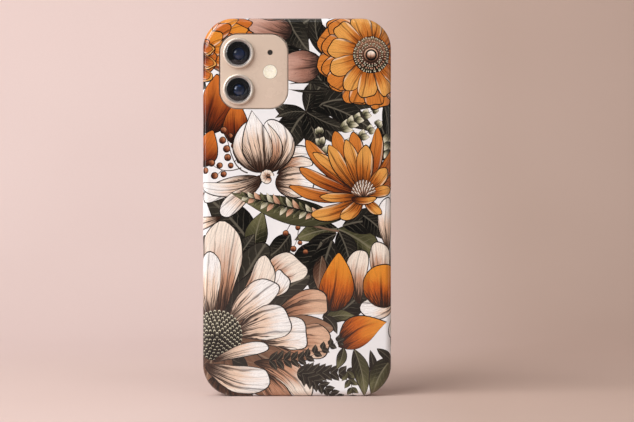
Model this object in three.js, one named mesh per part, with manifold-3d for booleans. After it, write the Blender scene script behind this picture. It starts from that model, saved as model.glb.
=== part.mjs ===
// A slim one-piece printed phone case, standing on its bottom edge with the handset it holds.
// Millimetres. X runs across the case, +Y from its printed back towards the screen, +Z up its length.
// The origin is at the middle of the bottom edge, halfway between the lens rings and the case's rim.

import * as THREE from "three";
import { mergeVertices } from "three/addons/utils/BufferGeometryUtils.js";
import Module from "manifold-3d";

// ---------------------------------------------------------------- driving dimensions

// The handset: a flat-sided phone of the common 6.1 inch class.
const handset = { width: 71.5, height: 146.7, thickness: 7.4, corner: 10.6, edge: 0.7 };

// The case: wall at the sides, wall at the back, lip that stands proud of the screen.
const shell = { side: 1.4, back: 1.6, lip: 0.8, backEdge: 2.6, seatEdge: 0.8 };

// Clearances between pieces.
const gap = { seatSide: 0.2, seatBack: 0.2, window: 0.3, glass: 0.1, button: 0.15, insert: 0.1, stem: 0.15 };

// The camera plateau on the handset's back, placed from the handset's left and top edges.
const plateau = { width: 26.8, height: 29.4, corner: 7, rise: 1.5, edge: 0.5, fromLeft: 18.7, fromTop: 19.6 };

// Where the lenses, flash and microphone lie on the plateau: shares of its width and height, from its middle.
const onPlateau = { lensAcross: -0.228, lensUp: 0.245, rightAcross: 0.24, flashUp: -0.007, micUp: 0.255 };
const lens = { ring: 6, bore: 5.2, ledge: 4.6, rise: 1.3, recess: 0.35, cover: 0.6, chamfer: 0.25 };
const barrel = { snout: 4.4, housing: 5.5, mouth: 3.9, throat: 2.5, throatTop: 1.4, floor: 3.8 };
const element = { thickness: 1.4, dome: 0.9 };
const flash = { radius: 2.75, thickness: 1.2, led: 2.4, ledThickness: 0.8 };
const rearMic = { radius: 0.95, recess: 0.4, thickness: 0.5 };

// Openings in the case. Distances are from the top of the case, down to each end of the opening.
const sideNotch = { top: 36.3, bottom: 58 };
const volumeNotch = { top: 25, bottom: 66 };
const notch = { fromBack: 2.1, corner: 2, flare: 0.6 };
const bottomNotch = { width: 44 };
const windowFlare = 0.5;

// Buttons on the handset's edge. Each is placed by its middle, from the top of the handset.
const button = { width: 2.9, proud: 0.4, pocket: 1.8, travel: 0.25, fromBack: 3.4, corner: 0.25 };
const sideButton = { length: 18.3, fromTop: 45.3 };
const volumeUp = { length: 10.4, fromTop: 42.6 };
const volumeDown = { length: 10.4, fromTop: 56 };
const stem = { radius: 0.5, reach: 0.6, spread: 0.28 };
const ringSwitch = { length: 5.6, width: 1.3, fromTop: 29.2, travel: 1.2, pocket: 1.4 };

// Layers through the handset, from its back: glass, tray, mid plate, display, glass.
const glass = { thickness: 0.8, inset: 1, bed: 0.9 };
const tray = { inset: 3 };
const midPlate = 0.6;
const display = { inset: 3.2, thickness: 1.1 };

// Openings in the handset's bottom edge.
const port = { width: 9, height: 3, corner: 1.45, fromBack: 3.2, wall: 0.3, recess: 0.4, depth: 7.2 };
const tongue = { width: 6, height: 0.7, recess: 1.2 };
const speakerHole = { radius: 0.7, pitch: 2.2, first: 10.4, count: 5 };
const speakerMesh = { width: 11, height: 2, thickness: 0.4 };
const screw = { x: 6.9, radius: 0.75, recess: 0.1, length: 2, slot: 0.3, slotLength: 1.1, slotDepth: 0.35 };

// Pieces set into the front glass, placed from the top of the handset.
const earpiece = { width: 11, height: 0.9, fromTop: 2.6, recess: 0.2, thickness: 0.5 };
const frontCamera = { radius: 1.6, fromTop: 7.6, recess: 0.1, thickness: 0.6 };

// How the tray is shared out: two columns of blocks with a gap between, and the camera above the left one.
const layout = { margin: 2, split: 0.56, gap: 3, lowEnd: 18, cameraEnd: 31.7, endInset: 4 };
const thickness = { battery: 3.5, board: 1, shield: 2, lowBlock: 3.4 };
const shieldInset = 2;
const shieldShare = 0.6;

// Steps in a quarter of an outline's corner, in a rounded edge, and round a circle.
const steps = { corner: 8, edge: 3, circle: 28, smallCircle: 12, dome: 4 };

// ---------------------------------------------------------------- sizes that follow

const caseWidth = handset.width + 2 * (shell.side + gap.seatSide);
const caseHeight = handset.height + 2 * (shell.side + gap.seatSide);
const caseCorner = handset.corner + shell.side + gap.seatSide;
const caseDepth = shell.back + gap.seatBack + handset.thickness + shell.lip;
const lensProud = plateau.rise + lens.rise - shell.back - gap.seatBack;
const backY = (Math.max(lensProud, 0) - caseDepth) / 2;
const rimY = backY + caseDepth;
const handsetY = backY + shell.back + gap.seatBack;
const handsetZ = shell.side + gap.seatSide;
const trayWidth = handset.width - 2 * tray.inset;
const trayHeight = handset.height - 2 * tray.inset;
const plateauX = plateau.fromLeft - handset.width / 2;
const plateauZ = handset.height - plateau.fromTop;
const lensNeck = lens.ring - lens.chamfer - 0.05;
const lensX = plateau.width * onPlateau.lensAcross;
const lensZ = plateau.height * onPlateau.lensUp;
const rightX = plateau.width * onPlateau.rightAcross;
const flashZ = plateau.height * onPlateau.flashUp;
const micZ = plateau.height * onPlateau.micUp;
const displayBack = handset.thickness - glass.thickness - gap.glass - display.thickness;
const trayFloor = displayBack - gap.glass - midPlate;
const BEYOND = 5; // how far a cutting tool runs past what it cuts

// ---------------------------------------------------------------- materials

function finish(color, roughness, metalness = 0) {
  return new THREE.MeshStandardMaterial({ color, roughness, metalness });
}

const finishes = {
  printedShell: finish(0xe9e2d8, 0.3),
  anodised: finish(0xcbb09a, 0.42, 0.8),
  tintedGlass: finish(0xd6bda6, 0.3),
  ring: finish(0xc9b49c, 0.25, 0.9),
  lensGlass: finish(0x11141c, 0.05),
  blackPlastic: finish(0x121214, 0.6),
  screenGlass: finish(0x08080a, 0.08),
  flashLens: finish(0xf2edd6, 0.2),
  flashChip: finish(0xe8c95a, 0.5),
  steel: finish(0x9a9a98, 0.3, 1),
  mesh: finish(0x1c1a18, 0.8),
  battery: finish(0x26262a, 0.7),
  board: finish(0x1d3a2b, 0.6),
};

// ---------------------------------------------------------------- shapes and solids

const wasm = await Module();
wasm.setup();

// An outline with round corners, centred on (x, y).
function roundedRect(width, height, radius, x = 0, y = 0) {
  const [w, h, r] = [width / 2, height / 2, Math.min(radius, width / 2 - 0.01, height / 2 - 0.01)];
  const outline = new THREE.Shape();
  outline.moveTo(x + w, y - h + r);
  outline.absarc(x + w - r, y + h - r, r, 0, Math.PI / 2);
  outline.absarc(x - w + r, y + h - r, r, Math.PI / 2, Math.PI);
  outline.absarc(x - w + r, y - h + r, r, Math.PI, 1.5 * Math.PI);
  outline.absarc(x + w - r, y - h + r, r, 1.5 * Math.PI, 2 * Math.PI);
  return outline;
}

function circle(radius, x = 0, y = 0) {
  const outline = new THREE.Shape();
  outline.absarc(x, y, radius, 0, 2 * Math.PI);
  return outline;
}

// Which way an outline's own x, y and thickness point in the model.
const vector = (direction) => new THREE.Vector3(...direction);
const facing = (x, y, z) => new THREE.Matrix4().makeBasis(vector(x), vector(y), vector(z));
const turns = {
  x: facing([0, 1, 0], [0, 0, 1], [1, 0, 0]),
  y: facing([1, 0, 0], [0, 0, 1], [0, -1, 0]),
  z: new THREE.Matrix4(),
};

// An outline made solid along one axis, between two places on it, with its end edges rounded or chamfered.
function prism(outline, axis, from, to, { edge = 0, edgeSteps = steps.edge, curve = steps.corner } = {}) {
  const made = new THREE.ExtrudeGeometry(outline, {
    depth: to - from - 2 * edge,
    bevelEnabled: edge > 0,
    bevelThickness: edge,
    bevelSize: edge,
    bevelOffset: -edge,
    bevelSegments: edgeSteps,
    curveSegments: curve,
  });
  made.applyMatrix4(turns[axis]);
  const start = axis === "y" ? to - edge : from + edge;
  return made.translate(axis === "x" ? start : 0, axis === "y" ? start : 0, axis === "z" ? start : 0);
}

// A profile of [radius, y] points turned about the Y axis. It is closed on itself unless it ends on the axis.
function turned(points, segments = steps.circle) {
  const profile = points.map(([r, y]) => new THREE.Vector2(r, y));
  if (THREE.ShapeUtils.area(profile) < 0) profile.reverse();
  const onAxis = profile.filter((p) => p.x === 0).length;
  if (onAxis === 0) profile.push(profile[0].clone());
  while (onAxis > 0 && !(profile[0].x === 0 && profile.at(-1).x === 0)) profile.push(profile.shift());
  return new THREE.LatheGeometry(profile, segments);
}

function solid(geometry) {
  const bare = geometry.clone();
  bare.deleteAttribute("normal");
  bare.deleteAttribute("uv");
  const merged = mergeVertices(bare, 1e-4);
  const mesh = { numProp: 3, vertProperties: merged.attributes.position.array, triVerts: merged.index.array };
  return new wasm.Manifold(new wasm.Mesh(mesh));
}

function geometryOf(body) {
  const { numProp, vertProperties, triVerts } = body.getMesh();
  const places = new Float32Array((vertProperties.length / numProp) * 3);
  for (let i = 0; i < places.length / 3; i++) {
    places.set(vertProperties.subarray(i * numProp, i * numProp + 3), 3 * i);
  }
  const made = new THREE.BufferGeometry();
  made.setAttribute("position", new THREE.BufferAttribute(places, 3));
  made.setIndex(new THREE.BufferAttribute(new Uint32Array(triVerts), 1));
  made.computeVertexNormals();
  return made;
}

// One geometry with others joined to it and cut from it.
function worked(base, { join = [], cut = [] }) {
  let body = solid(base);
  for (const piece of join) body = body.add(solid(piece));
  for (const tool of cut) body = body.subtract(solid(tool));
  return geometryOf(body);
}

function piece(name, geometry, material, [x, y, z] = [0, 0, 0]) {
  const mesh = new THREE.Mesh(geometry, material);
  mesh.name = name;
  mesh.position.set(x, y, z);
  return mesh;
}

// ---------------------------------------------------------------- the case

// A cutter for a side opening that runs out through the rim, between two places along the wall.
function notchCutter(axis, wallOuter, [low, high], side) {
  const cutterAt = (grow, from, to, edge) => {
    const start = backY + notch.fromBack - grow;
    const end = rimY + BEYOND;
    const [depth, length] = [end - start, high - low + 2 * grow];
    const middle = [(start + end) / 2, (low + high) / 2];
    const radius = notch.corner + grow;
    const outline =
      axis === "x"
        ? roundedRect(depth, length, radius, middle[0], middle[1])
        : roundedRect(length, depth, radius, middle[1], middle[0]);
    return prism(outline, axis, Math.min(from, to), Math.max(from, to), { edge, edgeSteps: 1, curve: 4 });
  };
  const outside = wallOuter + side * BEYOND;
  return [
    cutterAt(0, outside, wallOuter - side * (shell.side + 0.5), 0),
    cutterAt(notch.flare, outside, wallOuter - side * notch.flare, notch.flare),
  ];
}

function caseShell() {
  const outer = prism(roundedRect(caseWidth, caseHeight, caseCorner), "y", backY, rimY + shell.backEdge, {
    edge: shell.backEdge,
    edgeSteps: 5,
  });
  outer.translate(0, 0, caseHeight / 2);
  const beyondRim = prism(roundedRect(caseWidth + BEYOND, caseHeight + BEYOND, 1), "y", rimY, rimY + BEYOND);
  beyondRim.translate(0, 0, caseHeight / 2);
  const seatCorner = handset.corner + gap.seatSide;
  const [seatWidth, seatHeight] = [handset.width + 2 * gap.seatSide, handset.height + 2 * gap.seatSide];
  const seatOutline = roundedRect(seatWidth, seatHeight, seatCorner);
  const seat = prism(seatOutline, "y", backY + shell.back, rimY + BEYOND, { edge: shell.seatEdge });
  seat.translate(0, 0, caseHeight / 2);

  const opening = (grow) =>
    roundedRect(
      plateau.width + 2 * (gap.window + grow),
      plateau.height + 2 * (gap.window + grow),
      plateau.corner + gap.window + grow,
      plateauX,
      handsetZ + plateauZ,
    );
  const cameraWindow = prism(opening(0), "y", backY - BEYOND, backY + shell.back + 1);
  const cameraFlare = prism(opening(windowFlare), "y", backY - BEYOND, backY + windowFlare, {
    edge: windowFlare,
    edgeSteps: 1,
  });
  const fromTop = ({ top, bottom }) => [caseHeight - bottom, caseHeight - top];
  return worked(outer, {
    cut: [
      beyondRim,
      seat,
      cameraWindow,
      cameraFlare,
      ...notchCutter("x", -caseWidth / 2, fromTop(sideNotch), -1),
      ...notchCutter("x", caseWidth / 2, fromTop(volumeNotch), 1),
      ...notchCutter("z", 0, [-bottomNotch.width / 2, bottomNotch.width / 2], -1),
    ],
  });
}

// ---------------------------------------------------------------- the handset's frame and glass

// The handset's outline, shrunk by an inset, in the handset's own frame.
function handsetOutline(inset) {
  const [width, height] = [handset.width - 2 * inset, handset.height - 2 * inset];
  return roundedRect(width, height, Math.max(handset.corner - inset, 1), 0, handset.height / 2);
}

// The outline of a button or of its pocket, seen from the side: x is from the handset's back, y is its height.
const pill = (length, width, grow, fromTop) =>
  roundedRect(width + 2 * grow, length + 2 * grow, width / 2 + grow, button.fromBack, handset.height - fromTop);

const stemPlaces = ({ length, fromTop }) =>
  [-1, 1].map((way) => handset.height - fromTop + way * stem.spread * length);

// The pocket and stem holes for one push button. side is -1 on the left and 1 on the right.
function buttonPocket(size, side) {
  const edge = (side * handset.width) / 2;
  const throughWall = edge - side * (tray.inset + BEYOND / 5);
  const span = (a, b) => [Math.min(a, b), Math.max(a, b)];
  const pocket = prism(
    pill(size.length, button.width, gap.button, size.fromTop),
    "x",
    ...span(edge - side * button.pocket, edge + side * BEYOND),
    { curve: 6 },
  );
  const holes = stemPlaces(size).map((z) =>
    prism(circle(stem.radius + gap.stem, button.fromBack, z), "x", ...span(throughWall, edge), {
      curve: steps.smallCircle / 2,
    }),
  );
  return [pocket, ...holes];
}

function ringSwitchPocket() {
  const depth = ringSwitch.width + ringSwitch.travel + 2 * gap.button;
  const length = ringSwitch.length + 2 * gap.button;
  const middle = [button.fromBack, handset.height - ringSwitch.fromTop];
  const outline = roundedRect(depth, length, ringSwitch.width / 2, ...middle);
  return prism(outline, "x", handset.width / 2 - ringSwitch.pocket, handset.width / 2 + BEYOND, { curve: 4 });
}

function speakerHoles() {
  const places = Array.from({ length: speakerHole.count }, (_, i) => speakerHole.first + i * speakerHole.pitch);
  return [...places, ...places.map((x) => -x)].map((x) =>
    prism(circle(speakerHole.radius, x, port.fromBack), "z", -BEYOND, tray.inset + 1, { curve: 5 }),
  );
}

function phoneFrame() {
  const body = prism(handsetOutline(0), "y", 0, handset.thickness, { edge: handset.edge });
  const bedInset = glass.inset - gap.glass;
  const portHole = prism(
    roundedRect(port.width, port.height, port.corner, 0, port.fromBack),
    "z",
    -BEYOND,
    tray.inset + 1,
    { curve: 6 },
  );
  const screwHoles = [-1, 1].map((side) => {
    const outline = circle(screw.radius + gap.insert, side * screw.x, port.fromBack);
    return prism(outline, "z", -BEYOND, screw.length + gap.insert, { curve: steps.smallCircle / 2 });
  });
  return worked(body, {
    cut: [
      prism(handsetOutline(bedInset), "y", -BEYOND, glass.bed),
      prism(handsetOutline(bedInset), "y", handset.thickness - glass.bed, handset.thickness + BEYOND),
      prism(handsetOutline(tray.inset), "y", 0, trayFloor),
      prism(handsetOutline(tray.inset), "y", trayFloor + midPlate, handset.thickness),
      ...buttonPocket(sideButton, -1),
      ...buttonPocket(volumeUp, 1),
      ...buttonPocket(volumeDown, 1),
      ringSwitchPocket(),
      portHole,
      ...speakerHoles(),
      ...screwHoles,
    ],
  });
}

// The back glass is one piece with the camera plateau, which the rings, flash and microphone pass through.
function backGlass() {
  const plate = prism(handsetOutline(glass.inset), "y", 0, glass.thickness);
  const block = prism(
    roundedRect(plateau.width, plateau.height, plateau.corner, plateauX, plateauZ),
    "y",
    -plateau.rise,
    glass.thickness,
    { edge: plateau.edge },
  );
  const hole = (radius, x, z, curve) =>
    prism(circle(radius, plateauX + x, plateauZ + z), "y", -BEYOND, BEYOND, { curve });
  return worked(plate, {
    join: [block],
    cut: [
      hole(lensNeck + gap.insert, lensX, lensZ, steps.circle / 2),
      hole(lensNeck + gap.insert, lensX, -lensZ, steps.circle / 2),
      hole(flash.radius + gap.insert, rightX, flashZ, 10),
      hole(rearMic.radius + gap.insert, rightX, micZ, steps.smallCircle / 2),
    ],
  });
}

function frontGlass() {
  const top = handset.height;
  const slot = roundedRect(
    earpiece.width + 2 * gap.insert,
    earpiece.height + 2 * gap.insert,
    earpiece.height / 2 + gap.insert,
    0,
    top - earpiece.fromTop,
  );
  const [back, face] = [handset.thickness - glass.thickness, handset.thickness];
  const sheet = prism(handsetOutline(glass.inset), "y", back, face);
  const eye = circle(frontCamera.radius + gap.insert, 0, top - frontCamera.fromTop);
  return worked(sheet, {
    cut: [
      prism(slot, "y", 0, face + BEYOND, { curve: 4 }),
      prism(eye, "y", 0, face + BEYOND, { curve: steps.smallCircle / 2 }),
    ],
  });
}

// ---------------------------------------------------------------- the camera

function lensRing() {
  const under = glass.thickness + plateau.rise - gap.glass;
  const seat = -lens.rise + lens.recess + lens.cover + gap.glass;
  return turned([
    [lens.bore, -lens.rise],
    [lens.ring - lens.chamfer, -lens.rise],
    [lens.ring, -lens.rise + lens.chamfer],
    [lens.ring, -gap.glass / 2],
    [lensNeck, -gap.glass / 2],
    [lensNeck, under],
    [lens.ledge, under],
    [lens.ledge, seat],
    [lens.bore, seat],
  ]);
}

function lensCover() {
  const radius = lens.bore - gap.glass;
  const front = -lens.rise + lens.recess;
  return turned([
    [0, front],
    [radius - 0.15, front],
    [radius, front + 0.15],
    [radius, front + lens.cover],
    [0, front + lens.cover],
  ]);
}

// The barrel stands on the tray's floor and opens towards the cover glass in a step and a cone.
function cameraBarrel() {
  const front = -lens.rise + lens.recess + lens.cover + 2 * gap.glass;
  const shoulder = plateau.rise + glass.thickness + gap.glass;
  const foot = plateau.rise + trayFloor - gap.glass;
  return turned([
    [0, foot],
    [barrel.housing, foot],
    [barrel.housing, shoulder],
    [barrel.snout, shoulder],
    [barrel.snout, front],
    [barrel.mouth, front],
    [barrel.throat, barrel.throatTop],
    [barrel.throat, barrel.floor],
    [0, barrel.floor],
  ]);
}

// The front lens of the barrel, domed towards the cover glass.
function lensElement() {
  const radius = barrel.throat - gap.glass;
  const back = barrel.floor - gap.glass;
  const edgeY = back - element.thickness + element.dome;
  const profile = [[0, back], [radius, back]];
  for (let i = 0; i < steps.dome; i++) {
    const angle = (i / steps.dome) * (Math.PI / 2);
    profile.push([radius * Math.cos(angle), edgeY - element.dome * Math.sin(angle)]);
  }
  profile.push([0, edgeY - element.dome]);
  return turned(profile, steps.smallCircle * 2);
}

// A flat insert with a chamfered front edge, such as the flash lens or the microphone's mesh.
function insert(radius, front, depth, chamfer, segments) {
  const back = front + depth;
  const side = [[radius - chamfer, front], [radius, front + chamfer], [radius, back]];
  return turned([[0, front], ...side, [0, back]], segments);
}

// The camera's own frame is at the middle of the plateau, on its outer face.
function camera() {
  const group = new THREE.Group();
  group.position.set(plateauX, -plateau.rise, plateauZ);
  for (const [where, side] of [["upper", 1], ["lower", -1]]) {
    const place = [lensX, 0, side * lensZ];
    group.add(piece(`lens_ring_${where}`, lensRing(), finishes.ring, place));
    group.add(piece(`lens_cover_${where}`, lensCover(), finishes.lensGlass, place));
    group.add(piece(`camera_barrel_${where}`, cameraBarrel(), finishes.blackPlastic, place));
    group.add(piece(`lens_element_${where}`, lensElement(), finishes.lensGlass, place));
  }
  const flashPlace = [rightX, 0, flashZ];
  const ledFront = flash.thickness + gap.insert;
  const flashLens = insert(flash.radius, 0, flash.thickness, 0.2, 20);
  const flashLed = insert(flash.led, ledFront, flash.ledThickness, 0.2, 16);
  group.add(piece("flash_lens", flashLens, finishes.flashLens, flashPlace));
  group.add(piece("flash_led", flashLed, finishes.flashChip, flashPlace));
  const mesh = insert(rearMic.radius, rearMic.recess, rearMic.thickness, 0.05, steps.smallCircle);
  group.add(piece("rear_mic_mesh", mesh, finishes.mesh, [rightX, 0, micZ]));
  return group;
}

// ---------------------------------------------------------------- buttons on the handset's edge

// A push button: a domed pill in its pocket, with two stems that reach the switches in the tray.
function pushButton(size, side) {
  const edge = (side * handset.width) / 2;
  const inner = edge - side * (button.pocket - button.travel - gap.button);
  const outer = edge + side * button.proud;
  const cap = prism(
    pill(size.length, button.width, 0, size.fromTop),
    "x",
    Math.min(inner, outer),
    Math.max(inner, outer),
    { edge: button.corner, edgeSteps: 2, curve: 6 },
  );
  const tip = edge - side * (tray.inset + stem.reach);
  const root = inner + side * button.corner * 2;
  const stems = stemPlaces(size).map((z) =>
    prism(circle(stem.radius, button.fromBack, z), "x", Math.min(tip, root), Math.max(tip, root), {
      curve: steps.smallCircle / 2,
    }),
  );
  return worked(cap, { join: stems });
}

function ringSwitchLever() {
  const edge = handset.width / 2;
  const rest = button.fromBack - ringSwitch.travel / 2;
  const middle = [rest, handset.height - ringSwitch.fromTop];
  const outline = roundedRect(ringSwitch.width, ringSwitch.length, 0.5, ...middle);
  return prism(outline, "x", edge - ringSwitch.pocket + gap.button, edge + button.proud, {
    edge: button.corner,
    edgeSteps: 2,
    curve: 3,
  });
}

// ---------------------------------------------------------------- the port, speakers and screws

function chargePort() {
  const [width, height] = [port.width - 2 * gap.insert, port.height - 2 * gap.insert];
  const outside = roundedRect(width, height, port.corner - gap.insert, 0, port.fromBack);
  const tube = prism(outside, "z", port.recess, port.depth, { curve: 6 });
  const [innerWidth, innerHeight] = [width - 2 * port.wall, height - 2 * port.wall];
  const inside = roundedRect(innerWidth, innerHeight, port.corner - port.wall, 0, port.fromBack);
  return worked(tube, { cut: [prism(inside, "z", -BEYOND, port.depth - port.wall, { curve: 6 })] });
}

function portTongue() {
  const outline = roundedRect(tongue.width, tongue.height, 0.2, 0, port.fromBack);
  return prism(outline, "z", tongue.recess, port.depth - port.wall - gap.insert, { curve: 2 });
}

function bottomScrew() {
  const body = prism(circle(screw.radius), "z", screw.recess, screw.length, { curve: steps.smallCircle / 2 });
  const slots = [[screw.slot, screw.slotLength], [screw.slotLength, screw.slot]].map(([width, height]) =>
    prism(roundedRect(width, height, 0.05), "z", -BEYOND, screw.recess + screw.slotDepth, { curve: 1 }),
  );
  return worked(body, { cut: slots });
}

// ---------------------------------------------------------------- blocks in the tray

// A rectangular block between two corners, measured from the tray's own lower left corner. It rests on the
// tray's floor, or is lifted off it by what lies under it.
function trayBlock([left, low], [right, high], depth, lift = 0) {
  const back = trayFloor - gap.glass - lift;
  const middle = [(left + right - trayWidth) / 2, tray.inset + (low + high) / 2];
  return prism(roundedRect(right - left, high - low, 1, ...middle), "y", back - depth, back, { curve: 2 });
}

function trayBlocks() {
  const split = trayWidth * layout.split;
  const [leftEnd, rightStart] = [split - layout.gap / 2, split + layout.gap / 2];
  const rightEnd = trayWidth - layout.margin;
  const [boardLow, boardHigh] = [layout.lowEnd + layout.gap, trayHeight - layout.endInset];
  const shieldTop = boardHigh - shieldInset;
  const shieldLow = shieldTop - (boardHigh - boardLow) * shieldShare;
  const lift = thickness.board + gap.glass;
  const lowLeft = [layout.endInset, layout.endInset + layout.margin];
  const lowLeftTop = [trayWidth / 2 - port.width, layout.lowEnd];
  const lowRight = [trayWidth / 2 + port.width, lowLeft[1]];
  const lowRightTop = [trayWidth - layout.endInset, layout.lowEnd];
  const batteryLow = [layout.margin, layout.lowEnd + layout.gap];
  const battery = trayBlock(batteryLow, [leftEnd, trayHeight - layout.cameraEnd], thickness.battery);
  const board = trayBlock([rightStart, boardLow], [rightEnd, boardHigh], thickness.board);
  const shieldFrom = [rightStart + shieldInset, shieldLow];
  const shield = trayBlock(shieldFrom, [rightEnd - shieldInset, shieldTop], thickness.shield, lift);
  return [
    piece("battery", battery, finishes.battery),
    piece("logic_board", board, finishes.board),
    piece("board_shield", shield, finishes.steel),
    piece("haptic_motor", trayBlock(lowLeft, lowLeftTop, thickness.lowBlock), finishes.steel),
    piece("speaker_unit", trayBlock(lowRight, lowRightTop, thickness.lowBlock), finishes.blackPlastic),
  ];
}

// ---------------------------------------------------------------- the whole

// A thin insert in a hole of the front glass, a little below the glass's face.
function inFrontGlass(outline, { recess, thickness: depth }, curve) {
  const front = handset.thickness - recess;
  return prism(outline, "y", front - depth, front, { curve });
}

function makeHandset() {
  const group = new THREE.Group();
  group.position.set(0, handsetY, handsetZ);
  const displayPanel = prism(handsetOutline(display.inset), "y", displayBack, displayBack + display.thickness);
  const meshFront = tray.inset + gap.glass;
  const meshMiddle = speakerHole.first + ((speakerHole.count - 1) * speakerHole.pitch) / 2;
  group.add(
    piece("phone_frame", phoneFrame(), finishes.anodised),
    piece("back_glass", backGlass(), finishes.tintedGlass),
    piece("front_glass", frontGlass(), finishes.screenGlass),
    piece("display_panel", displayPanel, finishes.blackPlastic),
    ...trayBlocks(),
    camera(),
    piece("side_button", pushButton(sideButton, -1), finishes.anodised),
    piece("volume_up_button", pushButton(volumeUp, 1), finishes.anodised),
    piece("volume_down_button", pushButton(volumeDown, 1), finishes.anodised),
    piece("ring_switch", ringSwitchLever(), finishes.anodised),
    piece("charge_port", chargePort(), finishes.steel),
    piece("port_tongue", portTongue(), finishes.blackPlastic),
  );
  for (const [where, side] of [["left", -1], ["right", 1]]) {
    const screwPlace = [side * screw.x, port.fromBack, 0];
    group.add(piece(`bottom_screw_${where}`, bottomScrew(), finishes.steel, screwPlace));
    const strip = roundedRect(speakerMesh.width, speakerMesh.height, 0.3, side * meshMiddle, port.fromBack);
    const net = prism(strip, "z", meshFront, meshFront + speakerMesh.thickness, { curve: 2 });
    group.add(piece(`speaker_mesh_${where}`, net, finishes.mesh));
  }
  const { width: slotWidth, height: slotHeight, fromTop: slotFromTop } = earpiece;
  const slot = roundedRect(slotWidth, slotHeight, slotHeight / 2, 0, handset.height - slotFromTop);
  const mesh = inFrontGlass(slot, earpiece, 3);
  const eyeOutline = circle(frontCamera.radius, 0, handset.height - frontCamera.fromTop);
  const eye = inFrontGlass(eyeOutline, frontCamera, 6);
  group.add(piece("earpiece_mesh", mesh, finishes.mesh), piece("front_camera_lens", eye, finishes.lensGlass));
  return group;
}

const model = new THREE.Group();
model.add(piece("case_shell", caseShell(), finishes.printedShell), makeHandset());

export default model;
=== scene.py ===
import math

import bmesh
import bpy
import numpy as np
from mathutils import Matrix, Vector
from mathutils.geometry import delaunay_2d_cdt


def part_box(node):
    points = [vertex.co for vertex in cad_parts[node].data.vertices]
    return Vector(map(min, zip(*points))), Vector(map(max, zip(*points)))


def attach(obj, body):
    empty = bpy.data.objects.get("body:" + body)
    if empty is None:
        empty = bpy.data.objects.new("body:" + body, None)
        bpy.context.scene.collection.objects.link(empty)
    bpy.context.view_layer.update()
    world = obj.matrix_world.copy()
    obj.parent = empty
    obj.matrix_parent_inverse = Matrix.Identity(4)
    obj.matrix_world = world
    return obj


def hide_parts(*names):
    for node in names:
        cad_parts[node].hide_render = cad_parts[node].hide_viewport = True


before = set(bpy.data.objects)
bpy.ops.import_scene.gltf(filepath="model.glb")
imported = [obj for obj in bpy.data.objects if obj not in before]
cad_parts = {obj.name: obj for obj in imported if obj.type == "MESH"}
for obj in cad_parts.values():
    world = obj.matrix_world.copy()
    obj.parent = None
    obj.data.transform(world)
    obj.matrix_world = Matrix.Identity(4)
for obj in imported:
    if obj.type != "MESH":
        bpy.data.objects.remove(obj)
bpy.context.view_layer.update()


# ---------------------------------------------------------------- camera, floor and light
# The case stands upright on a pale seamless sweep and is looked at square on, from the height of its middle.
# A large soft panel stands up and to the left. A strip light on each side and one above it draw a line down
# each edge of the case and along its top.

MM = 0.001
scene = bpy.context.scene

camera = bpy.data.objects.new("camera", bpy.data.cameras.new("camera"))
camera.data.lens = 100
camera.data.clip_start = 0.01
camera.location = (7.95 * MM, -701.5 * MM, 73.4 * MM)
camera.rotation_euler = (math.radians(90), 0, 0)
scene.collection.objects.link(camera)
scene.camera = camera


class Tree:
    """A node tree being wired: nodes are added by type, with inputs given as values or as other sockets."""

    def __init__(self, tree):
        self.tree = tree

    def add(self, kind, inputs=None, **settings):
        made = self.tree.nodes.new(kind)
        for name, value in settings.items():
            setattr(made, name, value)
        for name, value in (inputs or {}).items():
            self.feed(made.inputs[name], value)
        return made

    def feed(self, socket, value):
        if isinstance(value, bpy.types.NodeSocket):
            self.tree.links.new(value, socket)
        elif hasattr(socket.default_value, "__len__") and len(socket.default_value) == 4 and len(value) == 3:
            socket.default_value = (*value, 1)
        else:
            socket.default_value = value

    def math(self, operation, *values, clamp=False):
        made = self.tree.nodes.new("ShaderNodeMath")
        made.operation = operation
        made.use_clamp = clamp
        for socket, value in zip(made.inputs, values):
            self.feed(socket, value)
        return made.outputs[0]

    def times(self, a, b, **flags):
        return self.math("MULTIPLY", a, b, **flags)

    def plus(self, a, b, **flags):
        return self.math("ADD", a, b, **flags)

    def minus(self, a, b, **flags):
        return self.math("SUBTRACT", a, b, **flags)

    def ramp(self, value, low, high, out_low=0.0, out_high=1.0):
        """value eased from out_low at low to out_high at high."""
        made = self.add(
            "ShaderNodeMapRange", {"Value": value, "From Min": low, "From Max": high},
            interpolation_type="SMOOTHSTEP",
        )
        self.feed(made.inputs["To Min"], out_low)
        self.feed(made.inputs["To Max"], out_high)
        return made.outputs["Result"]

    def mix(self, factor, a, b, blend="MIX"):
        made = self.add("ShaderNodeMix", data_type="RGBA", blend_type=blend)
        self.feed(made.inputs["Factor"], factor)
        self.feed(made.inputs["A"], a)
        self.feed(made.inputs["B"], b)
        return made.outputs["Result"]

    def noise(self, vector, scale, detail=3.0, roughness=0.55):
        made = self.add("ShaderNodeTexNoise", {"Scale": scale, "Detail": detail, "Roughness": roughness})
        if vector is not None:
            self.feed(made.inputs["Vector"], vector)
        return made.outputs["Fac"]

    def vector(self, x, y, z):
        return self.add("ShaderNodeCombineXYZ", {"X": x, "Y": y, "Z": z}).outputs["Vector"]

    def bump(self, height, distance, strength=1.0):
        return self.add(
            "ShaderNodeBump", {"Height": height, "Distance": distance, "Strength": strength}
        ).outputs["Normal"]

    def call(self, group, **inputs):
        """Adds a node group. Input names use _ for a space."""
        made = self.tree.nodes.new("ShaderNodeGroup")
        made.node_tree = group
        for name, value in inputs.items():
            self.feed(made.inputs[name.replace("_", " ")], value)
        return made.outputs

    def object_place(self):
        """The place on the object, in millimetres."""
        place = self.add("ShaderNodeTexCoord").outputs["Object"]
        scaled = self.add("ShaderNodeVectorMath", operation="SCALE")
        self.feed(scaled.inputs[0], place)
        self.feed(scaled.inputs["Scale"], 1000.0)
        return scaled.outputs["Vector"]


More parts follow.
